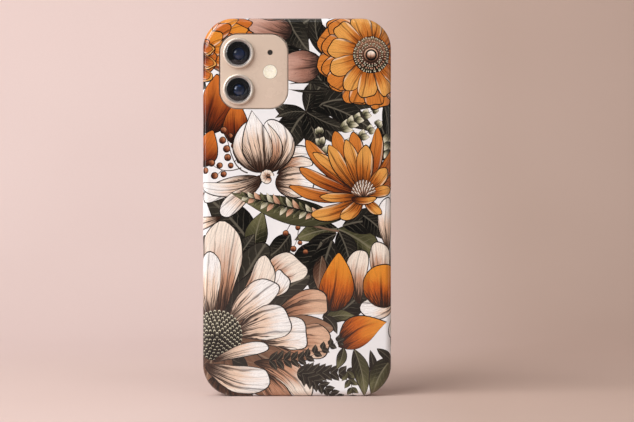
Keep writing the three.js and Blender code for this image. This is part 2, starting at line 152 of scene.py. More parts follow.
def group(name, inputs, outputs):
    """A node group with named inputs {name: (type, default)} and outputs {name: type}."""
    tree = bpy.data.node_groups.new(name, "ShaderNodeTree")
    for socket, (kind, default) in inputs.items():
        made = tree.interface.new_socket(socket, in_out="INPUT", socket_type="NodeSocket" + kind)
        if default is not None:
            made.default_value = default
    for socket, kind in outputs.items():
        tree.interface.new_socket(socket, in_out="OUTPUT", socket_type="NodeSocket" + kind)
    t = Tree(tree)
    return tree, t, t.add("NodeGroupInput").outputs, t.add("NodeGroupOutput")


def material(name, **values):
    """A new material and its Principled shader, with constants set on the shader's own sockets."""
    made = bpy.data.materials.new(name)
    made.use_nodes = True
    t = Tree(made.node_tree)
    shader = made.node_tree.nodes["Principled BSDF"]
    for socket, value in values.items():
        t.feed(shader.inputs[socket.replace("_", " ")], value)
    return made, t, shader


def paper_material():
    made, t, shader = material("sweep paper", Roughness=0.82, Specular_IOR_Level=0.25)
    place = t.object_place()
    cloud = t.noise(place, 0.004, 2.0)
    tooth = t.noise(place, 0.9, 4.0)
    parts = t.add("ShaderNodeSeparateXYZ", {"Vector": place}).outputs
    # Painted shade: the paper runs from a lit rose to a darker, browner sand on its right and at its front,
    # where the light falls off.
    rose = t.mix(t.ramp(cloud, 0.3, 0.7), (0.805, 0.645, 0.61), (0.835, 0.675, 0.64))
    shaded_sand = t.mix(t.ramp(cloud, 0.3, 0.7), (0.585, 0.435, 0.365), (0.615, 0.46, 0.39))
    painted_falloff = t.plus(
        t.ramp(parts["X"], -60.0, 150.0), t.ramp(parts["Y"], 60.0, 300.0, 0.36, 0.0), clamp=True
    )
    warm = t.mix(painted_falloff, rose, shaded_sand)
    t.feed(shader.inputs["Base Color"], t.mix(t.ramp(tooth, 0.3, 0.8, 0.0, 0.06), warm, (0.60, 0.44, 0.40)))
    t.feed(shader.inputs["Normal"], t.bump(tooth, 0.00005, 0.4))
    return made


def sweep():
    """A floor that curves up into a backdrop well behind the case, as one smooth sheet."""
    low, back, radius, half = -1.2, 0.62, 0.35, 1.6
    profile = [(low, 0.0), (-0.4, 0.0), (0.0, 0.0), (back - radius, 0.0)]
    for i in range(1, 17):
        a = math.radians(90 * i / 16)
        profile.append((back - radius + radius * math.sin(a), radius * (1 - math.cos(a))))
    profile.append((back, 1.8))
    mesh = bpy.data.meshes.new("sweep")
    verts = [(x, y, z - 0.00003) for y, z in profile for x in (-half, 0, half)]
    faces = []
    for i in range(len(profile) - 1):
        for j in range(2):
            a = 3 * i + j
            faces.append((a, a + 1, a + 4, a + 3))
    mesh.from_pydata(verts, [], faces)
    mesh.shade_smooth()
    mesh.materials.append(paper_material())
    made = bpy.data.objects.new("sweep", mesh)
    scene.collection.objects.link(made)


def panel(name, place, aim, size, power, color):
    light = bpy.data.lights.new(name, "AREA")
    light.shape = "RECTANGLE"
    light.size, light.size_y = size
    light.energy = power
    light.color = color
    made = bpy.data.objects.new(name, light)
    made.location = place
    made.rotation_euler = (Vector(aim) - Vector(place)).to_track_quat("-Z", "Y").to_euler()
    scene.collection.objects.link(made)


sweep()
panel("key panel", (-0.75, -0.75, 0.75), (-0.06, 0.05, 0.08), (1.05, 1.05), 18.0, (1.0, 0.99, 0.985))
panel("fill panel", (0.9, -0.9, 0.5), (0, 0, 0.07), (0.9, 0.9), 1.1, (1.0, 0.94, 0.88))
panel("left strip", (-0.5, -0.12, 0.2), (-0.03, 0, 0.08), (0.06, 0.6), 0.7, (1.0, 0.98, 0.97))
panel("right strip", (0.5, -0.1, 0.2), (0.03, 0, 0.08), (0.05, 0.6), 0.22, (1.0, 0.95, 0.9))
panel("top strip", (0.0, -0.28, 0.62), (0, 0, 0.14), (0.7, 0.02), 0.4, (1.0, 0.98, 0.97))
panel("top panel", (-0.1, 0.1, 0.75), (0, 0.02, 0.1), (0.7, 0.5), 0.6, (1.0, 0.97, 0.96))

world = bpy.data.worlds.new("studio")
world.use_nodes = True
world.node_tree.nodes["Background"].inputs["Color"].default_value = (0.78, 0.75, 0.74, 1)
world.node_tree.nodes["Background"].inputs["Strength"].default_value = 0.13
scene.world = world
scene.view_settings.view_transform = "Standard"


# ---------------------------------------------------------------- the moulded shell: its form
# One moulding of hard plastic. A flat back rolls over a small radius into straight side walls, which are open
# at the buttons, the port and the camera. Its outer face is described on a flat sheet, as a wrapped print is:
# a point's distance past the flat back says how far round the edge it goes.


def node_box(node):
    """A node's low and high corners in millimetres."""
    return [np.array(corner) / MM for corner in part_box(node)]


shell_low, shell_high = node_box("case_shell")
HALF_WIDTH = shell_high[0]
HEIGHT = shell_high[2]
BACK_Y = shell_low[1]
RIM_Y = shell_high[1]
MIDDLE = np.array([0.0, HEIGHT / 2])
EDGE = 2.6
OUTER_CORNER = 12.2
BACK_WALL = 1.6
SIDE_WALL = 1.4
FLAT_CORNER = OUTER_CORNER - EDGE
ROLL = EDGE * math.pi / 2
SHEET_EDGE = ROLL + (RIM_Y - BACK_Y) - EDGE
CORE = np.array([HALF_WIDTH - OUTER_CORNER, HEIGHT / 2 - OUTER_CORNER])


def wrap(points, depth=0.0):
    """Sheet points in mm to places on the shell, at a depth below its outer face, and the face's normals."""
    points = np.asarray(points, float)
    rel = points - MIDDLE
    core = np.clip(rel, -CORE, CORE)
    away = rel - core
    dist = np.linalg.norm(away, axis=1)
    out = away / np.maximum(dist, 1e-9)[:, None]
    past = dist - FLAT_CORNER
    turn = np.clip(past / EDGE, 0, math.pi / 2)
    reach = np.where(past < 0, dist, FLAT_CORNER + EDGE * np.sin(turn))
    y = BACK_Y + EDGE * (1 - np.cos(turn)) + np.maximum(past - ROLL, 0)
    flat = MIDDLE + core + out * reach[:, None]
    place = np.column_stack([flat[:, 0], y, flat[:, 1]])
    normal = np.column_stack([out[:, 0] * np.sin(turn), -np.cos(turn), out[:, 1] * np.sin(turn)])
    return place - normal * np.asarray(depth).reshape(-1, 1), normal


def wall_thickness(points):
    rel = np.asarray(points, float) - MIDDLE
    past = np.linalg.norm(rel - np.clip(rel, -CORE, CORE), axis=1) - FLAT_CORNER
    return BACK_WALL + (SIDE_WALL - BACK_WALL) * np.clip(past / ROLL, 0, 1)


def filleted(corners, step=9.0):
    """A closed outline through (x, z, radius) corners, each rounded, given in order."""
    outline = []
    count = len(corners)
    for i, (x, z, radius) in enumerate(corners):
        here = np.array([x, z])
        before = np.array(corners[i - 1][:2]) - here
        after = np.array(corners[(i + 1) % count][:2]) - here
        u, v = before / np.linalg.norm(before), after / np.linalg.norm(after)
        half = math.acos(np.clip(u @ v, -1, 1)) / 2
        reach = radius / math.tan(half)
        centre = here + (u + v) / np.linalg.norm(u + v) * radius / math.sin(half)
        start, end = here + u * reach - centre, here + v * reach - centre
        a0 = math.atan2(start[1], start[0])
        sweep_angle = (math.atan2(end[1], end[0]) - a0 + math.pi) % (2 * math.pi) - math.pi
        pieces = max(2, math.ceil(abs(math.degrees(sweep_angle)) / step))
        for k in range(pieces + 1):
            a = a0 + sweep_angle * k / pieces
            outline.append(centre + radius * np.array([math.cos(a), math.sin(a)]))
    return np.array(outline)


def shifted(outline, amount):
    """A closed outline moved to its left by amount."""
    after = np.roll(outline, -1, axis=0) - outline
    after /= np.maximum(np.linalg.norm(after, axis=1), 1e-9)[:, None]
    both = after + np.roll(after, 1, axis=0)
    both /= np.linalg.norm(both, axis=1)[:, None]
    return outline + np.column_stack([-both[:, 1], both[:, 0]]) * amount


def inside(points, outline):
    """Which points lie inside a closed outline."""
    x, y = points[:, 0][:, None], points[:, 1][:, None]
    x0, y0 = outline[:, 0][None], outline[:, 1][None]
    x1, y1 = np.roll(outline[:, 0], -1)[None], np.roll(outline[:, 1], -1)[None]
    crosses = (y0 > y) != (y1 > y)
    at = x0 + (y - y0) / np.where(y1 == y0, 1e-12, y1 - y0) * (x1 - x0)
    return ((crosses & (x < at)).sum(axis=1) % 2).astype(bool)


RIM_ROUND = 0.4
WINDOW_ROUND = 0.28
SIDE = HALF_WIDTH - EDGE + SHEET_EDGE
TOP = HEIGHT - EDGE + SHEET_EDGE
FOOT = EDGE - SHEET_EDGE
NOTCH_FLOOR = 3.58
BIG = FLAT_CORNER + SHEET_EDGE
NOTCH_X = HALF_WIDTH - EDGE + NOTCH_FLOOR
NOTCH_Z = EDGE - NOTCH_FLOOR
SIDE_NOTCH = (HEIGHT - 58.0, HEIGHT - 36.3)
VOLUME_NOTCH = (HEIGHT - 66.0, HEIGHT - 25.0)
PORT_HALF = 22.0

rim_line = filleted(
    [
        (SIDE, FOOT, BIG),
        (SIDE, VOLUME_NOTCH[0], 1.0),
        (NOTCH_X, VOLUME_NOTCH[0], 2.0),
        (NOTCH_X, VOLUME_NOTCH[1], 2.0),
        (SIDE, VOLUME_NOTCH[1], 1.0),
        (SIDE, TOP, BIG),
        (-SIDE, TOP, BIG),
        (-SIDE, SIDE_NOTCH[1], 1.0),
        (-NOTCH_X, SIDE_NOTCH[1], 2.0),
        (-NOTCH_X, SIDE_NOTCH[0], 2.0),
        (-SIDE, SIDE_NOTCH[0], 1.0),
        (-SIDE, FOOT, BIG),
        (-PORT_HALF, FOOT, 1.0),
        (-PORT_HALF, NOTCH_Z, 2.0),
        (PORT_HALF, NOTCH_Z, 2.0),
        (PORT_HALF, FOOT, 1.0),
    ]
)
WINDOW_X = -17.05
WINDOW_Z = 128.7
WINDOW_HALF = (13.7, 15.0)
window_line = filleted(
    [
        (WINDOW_X - WINDOW_HALF[0], WINDOW_Z - WINDOW_HALF[1], 7.3),
        (WINDOW_X + WINDOW_HALF[0], WINDOW_Z - WINDOW_HALF[1], 7.3),
        (WINDOW_X + WINDOW_HALF[0], WINDOW_Z + WINDOW_HALF[1], 7.3),
        (WINDOW_X - WINDOW_HALF[0], WINDOW_Z + WINDOW_HALF[1], 7.3),
    ],
    step=6.0,
)


# ---------------------------------------------------------------- the print: how a motif is drawn
# An ink and watercolour drawing of autumn flowers on white. Each petal, leaf and berry is a dark inked
# outline with a washed fill laid inside it, in painter's order. A motif remembers which way it grows, so
# that its wash, veins and pen strokes can follow it.

INK, PETAL, LEAF, BULB, PLAIN = range(5)
shapes = []
seeds = iter(range(1, 100000))


def jitter(seed, k=0):
    """A repeatable number from -1 to 1."""
    return 2 * ((math.sin(seed * 12.9898 + k * 78.233) * 43758.5453) % 1) - 1


def half_width(profile, turn):
    """How wide a motif is, from 0 to 1, at an angle that runs from 0 at its base to pi at its tip."""
    s = (1 - np.cos(turn)) / 2
    if profile == "petal":
        return np.sin(turn) * (0.42 + 0.75 * s)
    if profile == "leaf":
        return np.sin(math.pi * s**0.85) * (1.12 - 0.3 * s)
    if profile == "drop":
        return np.sin(turn) ** 0.9 * (1.0 - s**2.2 * 0.75) * 1.12
    if profile == "strap":
        return np.sin(turn) ** 0.62 * (0.78 + 0.22 * s)
    if profile == "lance":
        return np.sin(turn) ** 1.35 * (0.52 + 0.65 * s)
    if profile == "fan":
        return np.sin(turn) ** 0.7 * (0.25 + 0.85 * s)
    return np.sin(turn)


def blade_outline(base, tip, half, profile, bow, frill, seed):
    base, tip = np.asarray(base, float), np.asarray(tip, float)
    length = np.linalg.norm(tip - base)
    steps = int(np.clip(3 + 1.4 * length, 4, 18))
    ahead = (tip - base) / length
    aside = np.array([-ahead[1], ahead[0]])
    turn = np.linspace(0, math.pi, steps + 1)
    s = (1 - np.cos(turn)) / 2
    wide = half * half_width(profile, turn)
    middle = bow * length * 4 * s * (1 - s)
    sides = []
    for way in (1, -1):
        wave = 1 + frill * (0.5 * np.sin(9 * s + seed * 1.7 + way) + 0.5 * np.sin(17 * s + seed * 2.9 - way))
        reach = frill * 0.6 * length * np.sin(4.1 * way * wide / max(half, 1e-6) + seed) * s**3
        side = base + ahead * (length * s + reach)[:, None] + aside * (middle + way * wide * wave)[:, None]
        sides.append(side)
    return np.vstack([sides[0][:-1], sides[1][::-1][:-1]]), (base, ahead, aside, length, half, bow)


def blade(base, tip, width, tints, kind=PETAL, profile="petal", bow=0.0, frill=0.02, ink=0.34):
    """A petal, leaf or bulb from base to tip, with an inked edge. tints: its root, body and tip colours."""
    seed = next(seeds)
    base, tip = np.asarray(base, float), np.asarray(tip, float)
    half = width / 2
    if ink > 0:
        edge, place = blade_outline(base, tip, half, profile, bow, frill, seed)
        shapes.append({"outline": edge, "kind": INK, "place": place, "tints": (INK_BROWN,) * 3, "seed": seed})
    ahead = (tip - base) / np.linalg.norm(tip - base)
    lean = np.array([-ahead[1], ahead[0]]) * ink * 0.3 * jitter(seed)
    inner = max(half - ink, half * 0.3)
    fill, place = blade_outline(
        base + ahead * ink + lean, tip - ahead * ink * 1.3 + lean, inner, profile, bow, frill, seed
    )
    shapes.append({"outline": fill, "kind": kind, "place": place, "tints": tints, "seed": seed})


def stroke(points, width, tint, taper=0.35):
    """A stem or a pen line through points, a little narrower at its end."""
    points = np.array(points, float)
    spread = np.linspace(0, len(points) - 1, 5 * (len(points) - 1) + 1)
    at = np.arange(len(points))
    if len(points) > 2:
        fit = [np.polyfit(at, points[:, k], min(3, len(points) - 1)) for k in (0, 1)]
        path = np.column_stack([np.polyval(fit[0], spread), np.polyval(fit[1], spread)])
    else:
        path = np.column_stack([np.interp(spread, at, points[:, k]) for k in (0, 1)])
    ahead = np.gradient(path, axis=0)
    ahead /= np.linalg.norm(ahead, axis=1)[:, None]
    aside = np.column_stack([-ahead[:, 1], ahead[:, 0]])
    wide = width / 2 * np.linspace(1, taper, len(path))
    outline = np.vstack([path + aside * wide[:, None], (path - aside * wide[:, None])[::-1]])
    start, end = path[0], path[-1]
    length = np.linalg.norm(end - start)
    along = (end - start) / length
    place = (start, along, np.array([-along[1], along[0]]), length, width / 2, 0.0)
    shapes.append(
        {"outline": outline, "kind": PLAIN, "place": place, "tints": (tint,) * 3, "seed": next(seeds)}
    )


def disc(centre, radius, tints, kind=BULB, ink=0.18, squash=1.0, angle=90.0):
    """A berry, seed or flower centre, nearly round."""
    a = math.radians(angle)
    ahead = np.array([math.cos(a), math.sin(a)]) * radius
    centre = np.asarray(centre, float)
    blade(centre - ahead, centre + ahead, 2 * radius * squash, tints, kind, "round", 0.0, 0.01, ink)


def spray(
    points, count, length, width, tints, spread=55.0, kind=LEAF, profile="leaf", stem=0.35, stem_tint=None
):
    """A stem through points with pairs of leaflets along it, shorter towards its end."""
    stroke(points, stem, stem_tint or tints[0])
    points = np.array(points, float)
    at = np.linspace(0, len(points) - 1, count)
    path = np.column_stack([np.interp(at, np.arange(len(points)), points[:, k]) for k in (0, 1)])
    for i in range(count):
        ahead = path[min(i + 1, count - 1)] - path[max(i - 1, 0)]
        lead = math.atan2(ahead[1], ahead[0])
        reach = length * (1 - 0.45 * i / max(count - 1, 1))
        for way in (1, -1):
            a = lead + way * math.radians(spread + 6 * jitter(i, way))
            tip = path[i] + reach * np.array([math.cos(a), math.sin(a)])
            blade(path[i], tip, width, tints, kind, profile, way * -0.06, 0.0, 0.12)
    a = math.atan2(*(path[-1] - path[-2])[::-1])
    tip = path[-1] + 0.6 * length * np.array([math.cos(a), math.sin(a)])
    blade(path[-1], tip, width, tints, kind, profile, 0, 0, 0.12)


# ---------------------------------------------------------------- the print: its colours and layout
# Burnt orange flowers, cream magnolias and blossoms, charcoal and olive leaves, rose-brown pods and berries.
# Motifs are placed in millimetres on the sheet, across from the case's middle and up from its foot. Those
# that reach past the flat back run on over the rolled edge and down the walls, as a wrapped print does.

INK_BROWN = (0.008, 0.006, 0.005)
WHITE = ((0.06, 0.024, 0.013), (0.80, 0.60, 0.46), (0.93, 0.92, 0.905))
CREAM = ((0.04, 0.014, 0.008), (0.56, 0.30, 0.185), (0.90, 0.81, 0.71))
TAN = ((0.05, 0.020, 0.011), (0.44, 0.215, 0.125), (0.70, 0.45, 0.31))
UMBER = ((0.010, 0.006, 0.004), (0.090, 0.040, 0.024), (0.28, 0.15, 0.09))
ORANGE = ((0.045, 0.008, 0.003), (0.34, 0.070, 0.009), (0.63, 0.21, 0.036))
AMBER = ((0.09, 0.015, 0.003), (0.50, 0.140, 0.018), (0.76, 0.36, 0.085))
FLAME = ((0.022, 0.005, 0.003), (0.56, 0.115, 0.010), (0.74, 0.27, 0.032))
RUST = ((0.012, 0.004, 0.003), (0.22, 0.036, 0.007), (0.56, 0.15, 0.022))
ROSE = ((0.03, 0.016, 0.013), (0.36, 0.175, 0.125), (0.55, 0.33, 0.26))
CHARCOAL = ((0.0015, 0.0015, 0.001), (0.006, 0.0055, 0.004), (0.032, 0.028, 0.021))
OLIVE = ((0.003, 0.003, 0.002), (0.022, 0.022, 0.009), (0.135, 0.130, 0.060))
SAGE = ((0.035, 0.033, 0.020), (0.30, 0.285, 0.17), (0.74, 0.70, 0.55))
BERRY = ((0.03, 0.007, 0.004), (0.20, 0.055, 0.022), (0.46, 0.18, 0.08))
TWIG = (0.065, 0.04, 0.03)


def foliage_behind():
    """The dark leaves that everything else lies on."""
    hub = (3.6, 112.6)
    for tip, width, bow in [
        ((33.0, 114.4), 12.5, 0.14),
        ((13.6, 127.0), 9.0, 0.08),
        ((-3.8, 95.6), 12.5, -0.12),
        ((8.6, 93.0), 9.5, 0.06),
        ((17.6, 98.0), 7.0, 0.05),
        ((23.0, 105.0), 5.5, -0.05),
        ((-10.0, 116.5), 6.5, 0.14),
        ((-8.6, 110.2), 4.5, -0.10),
        ((5.2, 125.6), 5.0, -0.06),
    ]:
        blade(hub, tip, width, CHARCOAL, LEAF, "leaf", bow)
    for base, tip, width, bow, tints in [
        ((-7.0, 136.0), (8.0, 152.0), 13.0, 0.05, CHARCOAL),
        ((-4.0, 151.0), (5.2, 136.0), 10.0, -0.06, CHARCOAL),
        ((10.4, 136.5), (7.3, 149.6), 5.6, -0.10, CHARCOAL),
        ((11.5, 134.0), (9.0, 158.0), 6.5, 0.12, CHARCOAL),
        ((13.0, 122.0), (5.0, 135.0), 6.5, 0.10, CHARCOAL),
        ((13.0, 121.0), (-3.5, 121.6), 1.6, 0.04, CHARCOAL),
        ((13.0, 124.4), (-3.5, 123.6), 1.3, -0.03, CHARCOAL),
        ((33.0, 108.0), (43.0, 94.5), 8.0, -0.1, CHARCOAL),
        ((31.5, 119.0), (44.5, 108.0), 7.5, 0.1, OLIVE),
        ((36.0, 104.0), (26.0, 92.0), 9.0, 0.1, CHARCOAL),
        ((10.0, 115.5), (31.5, 104.0), 9.0, 0.06, CHARCOAL),
        ((34.5, 116.0), (36.5, 97.0), 4.5, 0.04, CHARCOAL),
        ((-36.0, 122.0), (-45.0, 131.0), 7.0, 0.1, CHARCOAL),
        ((-37.0, 108.0), (-46.0, 100.0), 7.0, 0.1, CHARCOAL),
        ((-16.0, 100.0), (-26.0, 120.0), 6.0, 0.1, CHARCOAL),
        ((16.0, 66.4), (34.5, 53.6), 12.5, 0.06, OLIVE),
        ((18.0, 67.6), (40.0, 68.0), 10.5, 0.08, CHARCOAL),
        ((26.0, 72.0), (37.0, 61.0), 8.5, 0.06, CHARCOAL),
        ((16.6, 65.6), (21.6, 49.2), 8.6, 0.05, CHARCOAL),
        ((16.4, 66.4), (-1.2, 61.8), 8.8, -0.06, OLIVE),
        ((15.8, 64.6), (0.8, 52.5), 6.2, -0.08, CHARCOAL),
        ((10.0, 61.5), (-3.5, 42.0), 15.0, 0.05, CHARCOAL),
        ((14.0, 62.0), (8.5, 33.0), 13.0, -0.05, CHARCOAL),
        ((10.0, 56.0), (9.5, 40.0), 6.0, -0.05, UMBER),
        ((-16.4, 57.4), (-37.6, 80.5), 14.5, -0.05, CHARCOAL),
        ((-2.6, 64.4), (-13.4, 54.0), 8.4, 0.08, CHARCOAL),
        ((-17.0, 56.4), (-13.0, 74.0), 9.4, 0.05, OLIVE),
        ((-24.0, 54.0), (-16.5, 64.5), 8.0, 0.0, CHARCOAL),
        ((-20.0, 54.0), (-11.0, 56.0), 5.0, 0.0, CHARCOAL),
        ((10.0, 31.0), (29.5, 47.5), 11.0, -0.12, CHARCOAL),
        ((10.0, 30.0), (24.0, 31.5), 5.5, 0.1, OLIVE),
        ((10.5, 32.0), (16.0, 24.6), 4.2, 0.1, CHARCOAL),
    ]:
        blade(base, tip, width, tints, LEAF, "leaf", bow)


def pods():
    """Rose-brown pods at the top and rust-coloured ones down the left."""
    blade((-2.0, 143.6), (-19.5, 149.5), 12.5, ROSE, BULB, "round", 0.05)
    blade((-5.0, 151.0), (-17.0, 157.5), 9.0, ROSE, BULB, "round", 0.05)
    blade((10.0, 131.8), (-7.0, 130.0), 13.2, ROSE, BULB, "round", 0.02)
    stroke([(10.0, 131.0), (12.5, 128.0), (13.0, 123.5)], 0.7, TWIG)
    for base, tip, width, bow in [
        ((-36.0, 104.0), (-31.5, 128.0), 15.0, -0.06),
        ((-23.5, 99.5), (-23.5, 117.5), 10.5, 0.04),
        ((-40.5, 91.5), (-33.0, 105.5), 11.5, -0.05),
        ((-43.5, 112.0), (-41.0, 127.0), 8.5, 0.0),
        ((-46.0, 86.0), (-42.5, 97.0), 7.0, 0.0),
    ]:
        blade(base, tip, width, RUST, BULB, "drop", bow)


def layered_bloom():
    """A flame-coloured bloom that fills the top left corner, seen past the camera window."""
    centre = np.array([-40.5, 134.0])
    for length, count, start, spread, width, tints in [
        (27.0, 9, -14, 16, 9.5, RUST),
        (24.0, 8, 30, 15, 8.5, FLAME),
        (19.0, 7, -20, 21, 9.0, RUST),
        (14.5, 6, -8, 25, 8.0, FLAME),
        (9.0, 6, -30, 28, 6.5, RUST),
    ]:
        for i in range(count):
            a = math.radians(start + spread * i)
            tip = centre + length * np.array([math.cos(a), math.sin(a)])
            blade(centre, tip, width, tints, PETAL, "petal", 0.10, 0.05, 0.34)
    for i, (x, z) in enumerate([(-32.6, 139.8), (-32.0, 134.4), (-33.2, 129.4)]):
        blade((x - 7.0, z + 1.0), (x, z - 3.4), 6.0, AMBER, PETAL, "round", -0.16, 0.08, 0.34)
        blade((x - 6.2, z + 0.4), (x - 0.9, z - 2.9), 4.2, RUST, PETAL, "round", -0.16, 0.05, 0.2)


def magnolia():
    """A white magnolia bud standing over its open petals, with a tight whorl where they meet."""
    heart = np.array([-11.8, 87.0])
    for base, tip, width, tints, profile, bow in [
        ((-14.0, 85.6), (-37.4, 78.0), 8.0, WHITE, "strap", -0.06),
        ((-13.4, 86.8), (-38.4, 83.2), 6.6, WHITE, "strap", 0.12),
        ((-14.5, 84.0), (-30.0, 71.4), 8.6, WHITE, "petal", -0.05),
        ((-30.0, 71.0), (-42.0, 68.0), 6.0, WHITE, "petal", 0.05),
        ((-10.0, 89.4), (6.2, 97.2), 5.6, WHITE, "petal", 0.18),
        ((-8.0, 88.0), (6.6, 92.4), 5.4, CREAM, "petal", 0.16),
        ((-8.6, 85.0), (6.8, 83.6), 12.6, WHITE, "round", 0.03),
        ((-14.0, 88.6), (-20.0, 108.6), 10.5, WHITE, "round", 0.16),
        ((-11.0, 88.6), (-10.2, 109.8), 13.6, WHITE, "round", -0.16),
        ((-11.6, 89.0), (-11.8, 108.4), 5.0, CREAM, "leaf", -0.20),
        ((-14.2, 88.4), (-18.0, 113.6), 12.4, WHITE, "leaf", 0.0),
    ]:
        blade(base, tip, width, tints, PETAL, profile, bow, 0.015, 0.36)
    for i in range(7):
        a = math.radians(15 + 40 * i)
        tip = heart + np.array([2.9 * math.cos(a), 3.0 * math.sin(a)])
        blade(heart - 0.3 * (tip - heart), tip, 2.4, CREAM, PETAL, "strap", 0.28, 0.0, 0.2)
    disc(heart + (0.5, 0.2), 0.9, UMBER, BULB)


def berry_sprays():
    """Small round berries on dark twigs, over the white beside the magnolia and in the middle."""
    stroke([(-19.5, 88.5), (-24.5, 92.5), (-27.0, 99.5), (-29.0, 106.5)], 0.55, TWIG)
    stroke([(-22.0, 90.5), (-29.0, 89.5), (-34.5, 92.8)], 0.45, TWIG)
    stroke([(-29.5, 89.6), (-32.5, 86.8)], 0.35, TWIG)
    stroke([(-24.6, 93.0), (-21.4, 96.5)], 0.35, TWIG)
    for x, z, radius in [
        (-29.0, 105.4, 1.35), (-29.4, 101.4, 1.35), (-26.4, 103.2, 1.1), (-27.8, 98.0, 1.4),
        (-25.0, 99.2, 1.1), (-27.4, 94.6, 1.35), (-23.6, 97.4, 1.2), (-21.2, 96.2, 1.35),
        (-22.7, 93.4, 1.15), (-19.7, 92.6, 1.2), (-33.8, 92.4, 1.35), (-30.6, 91.4, 1.2),
        (-32.6, 87.4, 1.35), (-29.0, 88.0, 1.2), (-26.2, 91.4, 1.1), (-36.4, 89.4, 1.3),
        (-39.6, 87.0, 1.2), (-41.0, 83.5, 1.3), (-38.6, 80.4, 1.1),
        (-43.6, 88.8, 1.3), (-45.0, 84.6, 1.2), (-43.4, 80.2, 1.3), (-45.4, 92.0, 1.2),
    ]:
        disc((x, z), 1.12 * radius, BERRY, BULB, 0.24, 0.95, 60 + 40 * jitter(x))
        disc((x - 0.2 * radius, z + 0.7 * radius), 0.2 * radius, UMBER, PLAIN, 0.0)
    stroke([(-9.6, 71.4), (-1.0, 69.6), (8.0, 67.2), (16.5, 65.4)], 1.1, (0.20, 0.12, 0.08), 0.7)
    stroke([(-1.5, 69.6), (-3.6, 66.4), (-4.2, 64.8)], 0.4, TWIG)
    stroke([(0.5, 69.2), (0.2, 63.0), (-1.6, 58.8)], 0.4, TWIG)
    stroke([(0.2, 63.0), (3.2, 57.6)], 0.4, TWIG)
    for x, z, radius in [
        (-4.4, 64.6, 1.3), (0.4, 66.8, 1.1), (-1.4, 58.4, 1.3), (3.4, 57.2, 1.2), (1.2, 60.8, 1.0)
    ]:
        disc((x, z), radius, BERRY, BULB, 0.2)


def poppy():
    """The orange poppy at the top right, with a ring of stamens round a cream button."""
    heart = np.array([29.4, 135.2])
    for reach, count, start, width, tints in [
        (21.2, 12, 12, 13.5, ORANGE), (20.2, 13, 0, 11.5, ORANGE), (17.6, 12, 20, 9.4, AMBER)
    ]:
        for i in range(count):
            angle = start + 360 * i / count + 5 * jitter(i, reach)
            a = math.radians(angle)
            length = reach * (1 + 0.03 * jitter(i, width))
            tip = heart + length * np.array([math.cos(a), math.sin(a)])
            across = width * (1 + 0.14 * jitter(i, 3))
            blade(heart, tip, across, tints, PETAL, "fan", 0.03 * jitter(i, 7), 0.05, 0.34)
    disc(heart, 7.3, UMBER, PLAIN, 0.3)
    for ring, count, reach, tint in [
        (7.2, 44, 1.5, SAGE), (6.0, 38, 1.3, TAN), (4.9, 30, 1.1, SAGE), (4.0, 22, 0.8, CREAM)
    ]:
        for i in range(count):
            a = 2 * math.pi * (i + 0.3 * jitter(i, ring)) / count
            out = np.array([math.cos(a), math.sin(a)])
            root, tip = heart + out * (ring - reach), heart + out * (ring + 0.3 * jitter(i))
            blade(root, tip, 0.6, tint, PLAIN, "round", 0, 0, 0.08)
    disc(heart, 3.1, TAN, PLAIN, 0.3)
    disc(heart, 2.3, CHARCOAL, PLAIN, 0.0)
    disc(heart, 1.75, CREAM, BULB, 0.1)


def daisy():
    """The orange daisy in the middle right, with long separate petals and a tuft of pale stamens."""
    heart = np.array([26.4, 79.6])
    for tip, width, bow in [
        ((3.0, 101.8), 6.4, 0.05),
        ((14.8, 105.6), 6.4, 0.04),
        ((22.4, 105.0), 6.6, 0.0),
        ((32.2, 106.4), 5.6, -0.06),
        ((-3.0, 83.2), 5.2, 0.08),
        ((41.5, 100.0), 6.0, -0.05),
        ((44.0, 88.0), 5.5, 0.0),
        ((0.5, 90.6), 5.2, 0.05),
    ]:
        blade(heart, tip, width * 1.15, ORANGE, PETAL, "lance", bow)
    for tip, width, bow in [
        ((6.2, 96.8), 5.2, -0.03),
        ((12.6, 99.6), 6.2, 0.05),
        ((19.4, 101.6), 6.0, 0.0),
        ((27.2, 99.6), 7.2, 0.0),
        ((35.6, 90.6), 6.0, -0.04),
        ((5.2, 71.4), 6.6, 0.10),
        ((17.0, 70.2), 5.8, 0.10),
        ((37.8, 82.0), 5.0, 0.0),
        ((33.5, 72.0), 4.6, -0.08),
        ((9.0, 79.0), 4.2, 0.03),
    ]:
        blade(heart, tip, width * 1.12, AMBER, PETAL, "lance", bow)
    for ring, count in [(6.0, 23), (4.6, 19), (3.2, 13)]:
        for i in range(count):
            a = math.radians(8 + 164 * (i + 0.3 * jitter(i, ring)) / (count - 1))
            tip = heart + np.array([ring * math.cos(a) * 0.85, ring * math.sin(a) + 0.4])
            root = heart + (0.1 * ring * math.cos(a), -1.0)
            tints = CREAM if i % 2 else UMBER
            blade(root, tip, 0.75, tints, PLAIN, "strap", 0.05, 0, 0.13)
    blade((21.5, 78.2), (31.6, 78.6), 3.4, AMBER, PETAL, "round", -0.1)


def wheat():
    """Sprigs of cream and green grains behind the daisy."""
    for points, count in [
        ([(17.5, 105.6), (23.0, 109.2), (29.8, 113.0)], 5),
        ([(19.0, 98.8), (25.0, 102.4), (31.4, 107.2)], 5),
        ([(36.4, 104.0), (36.4, 96.0), (36.4, 84.0)], 6),
        ([(12.5, 92.0), (10.0, 97.5), (9.0, 104.0)], 4),
        ([(40.5, 112.0), (41.0, 102.0), (41.5, 92.0)], 6),
    ]:
        spray(points, count, 4.9, 3.0, SAGE, 32.0, BULB, "drop", 0.5, TWIG)


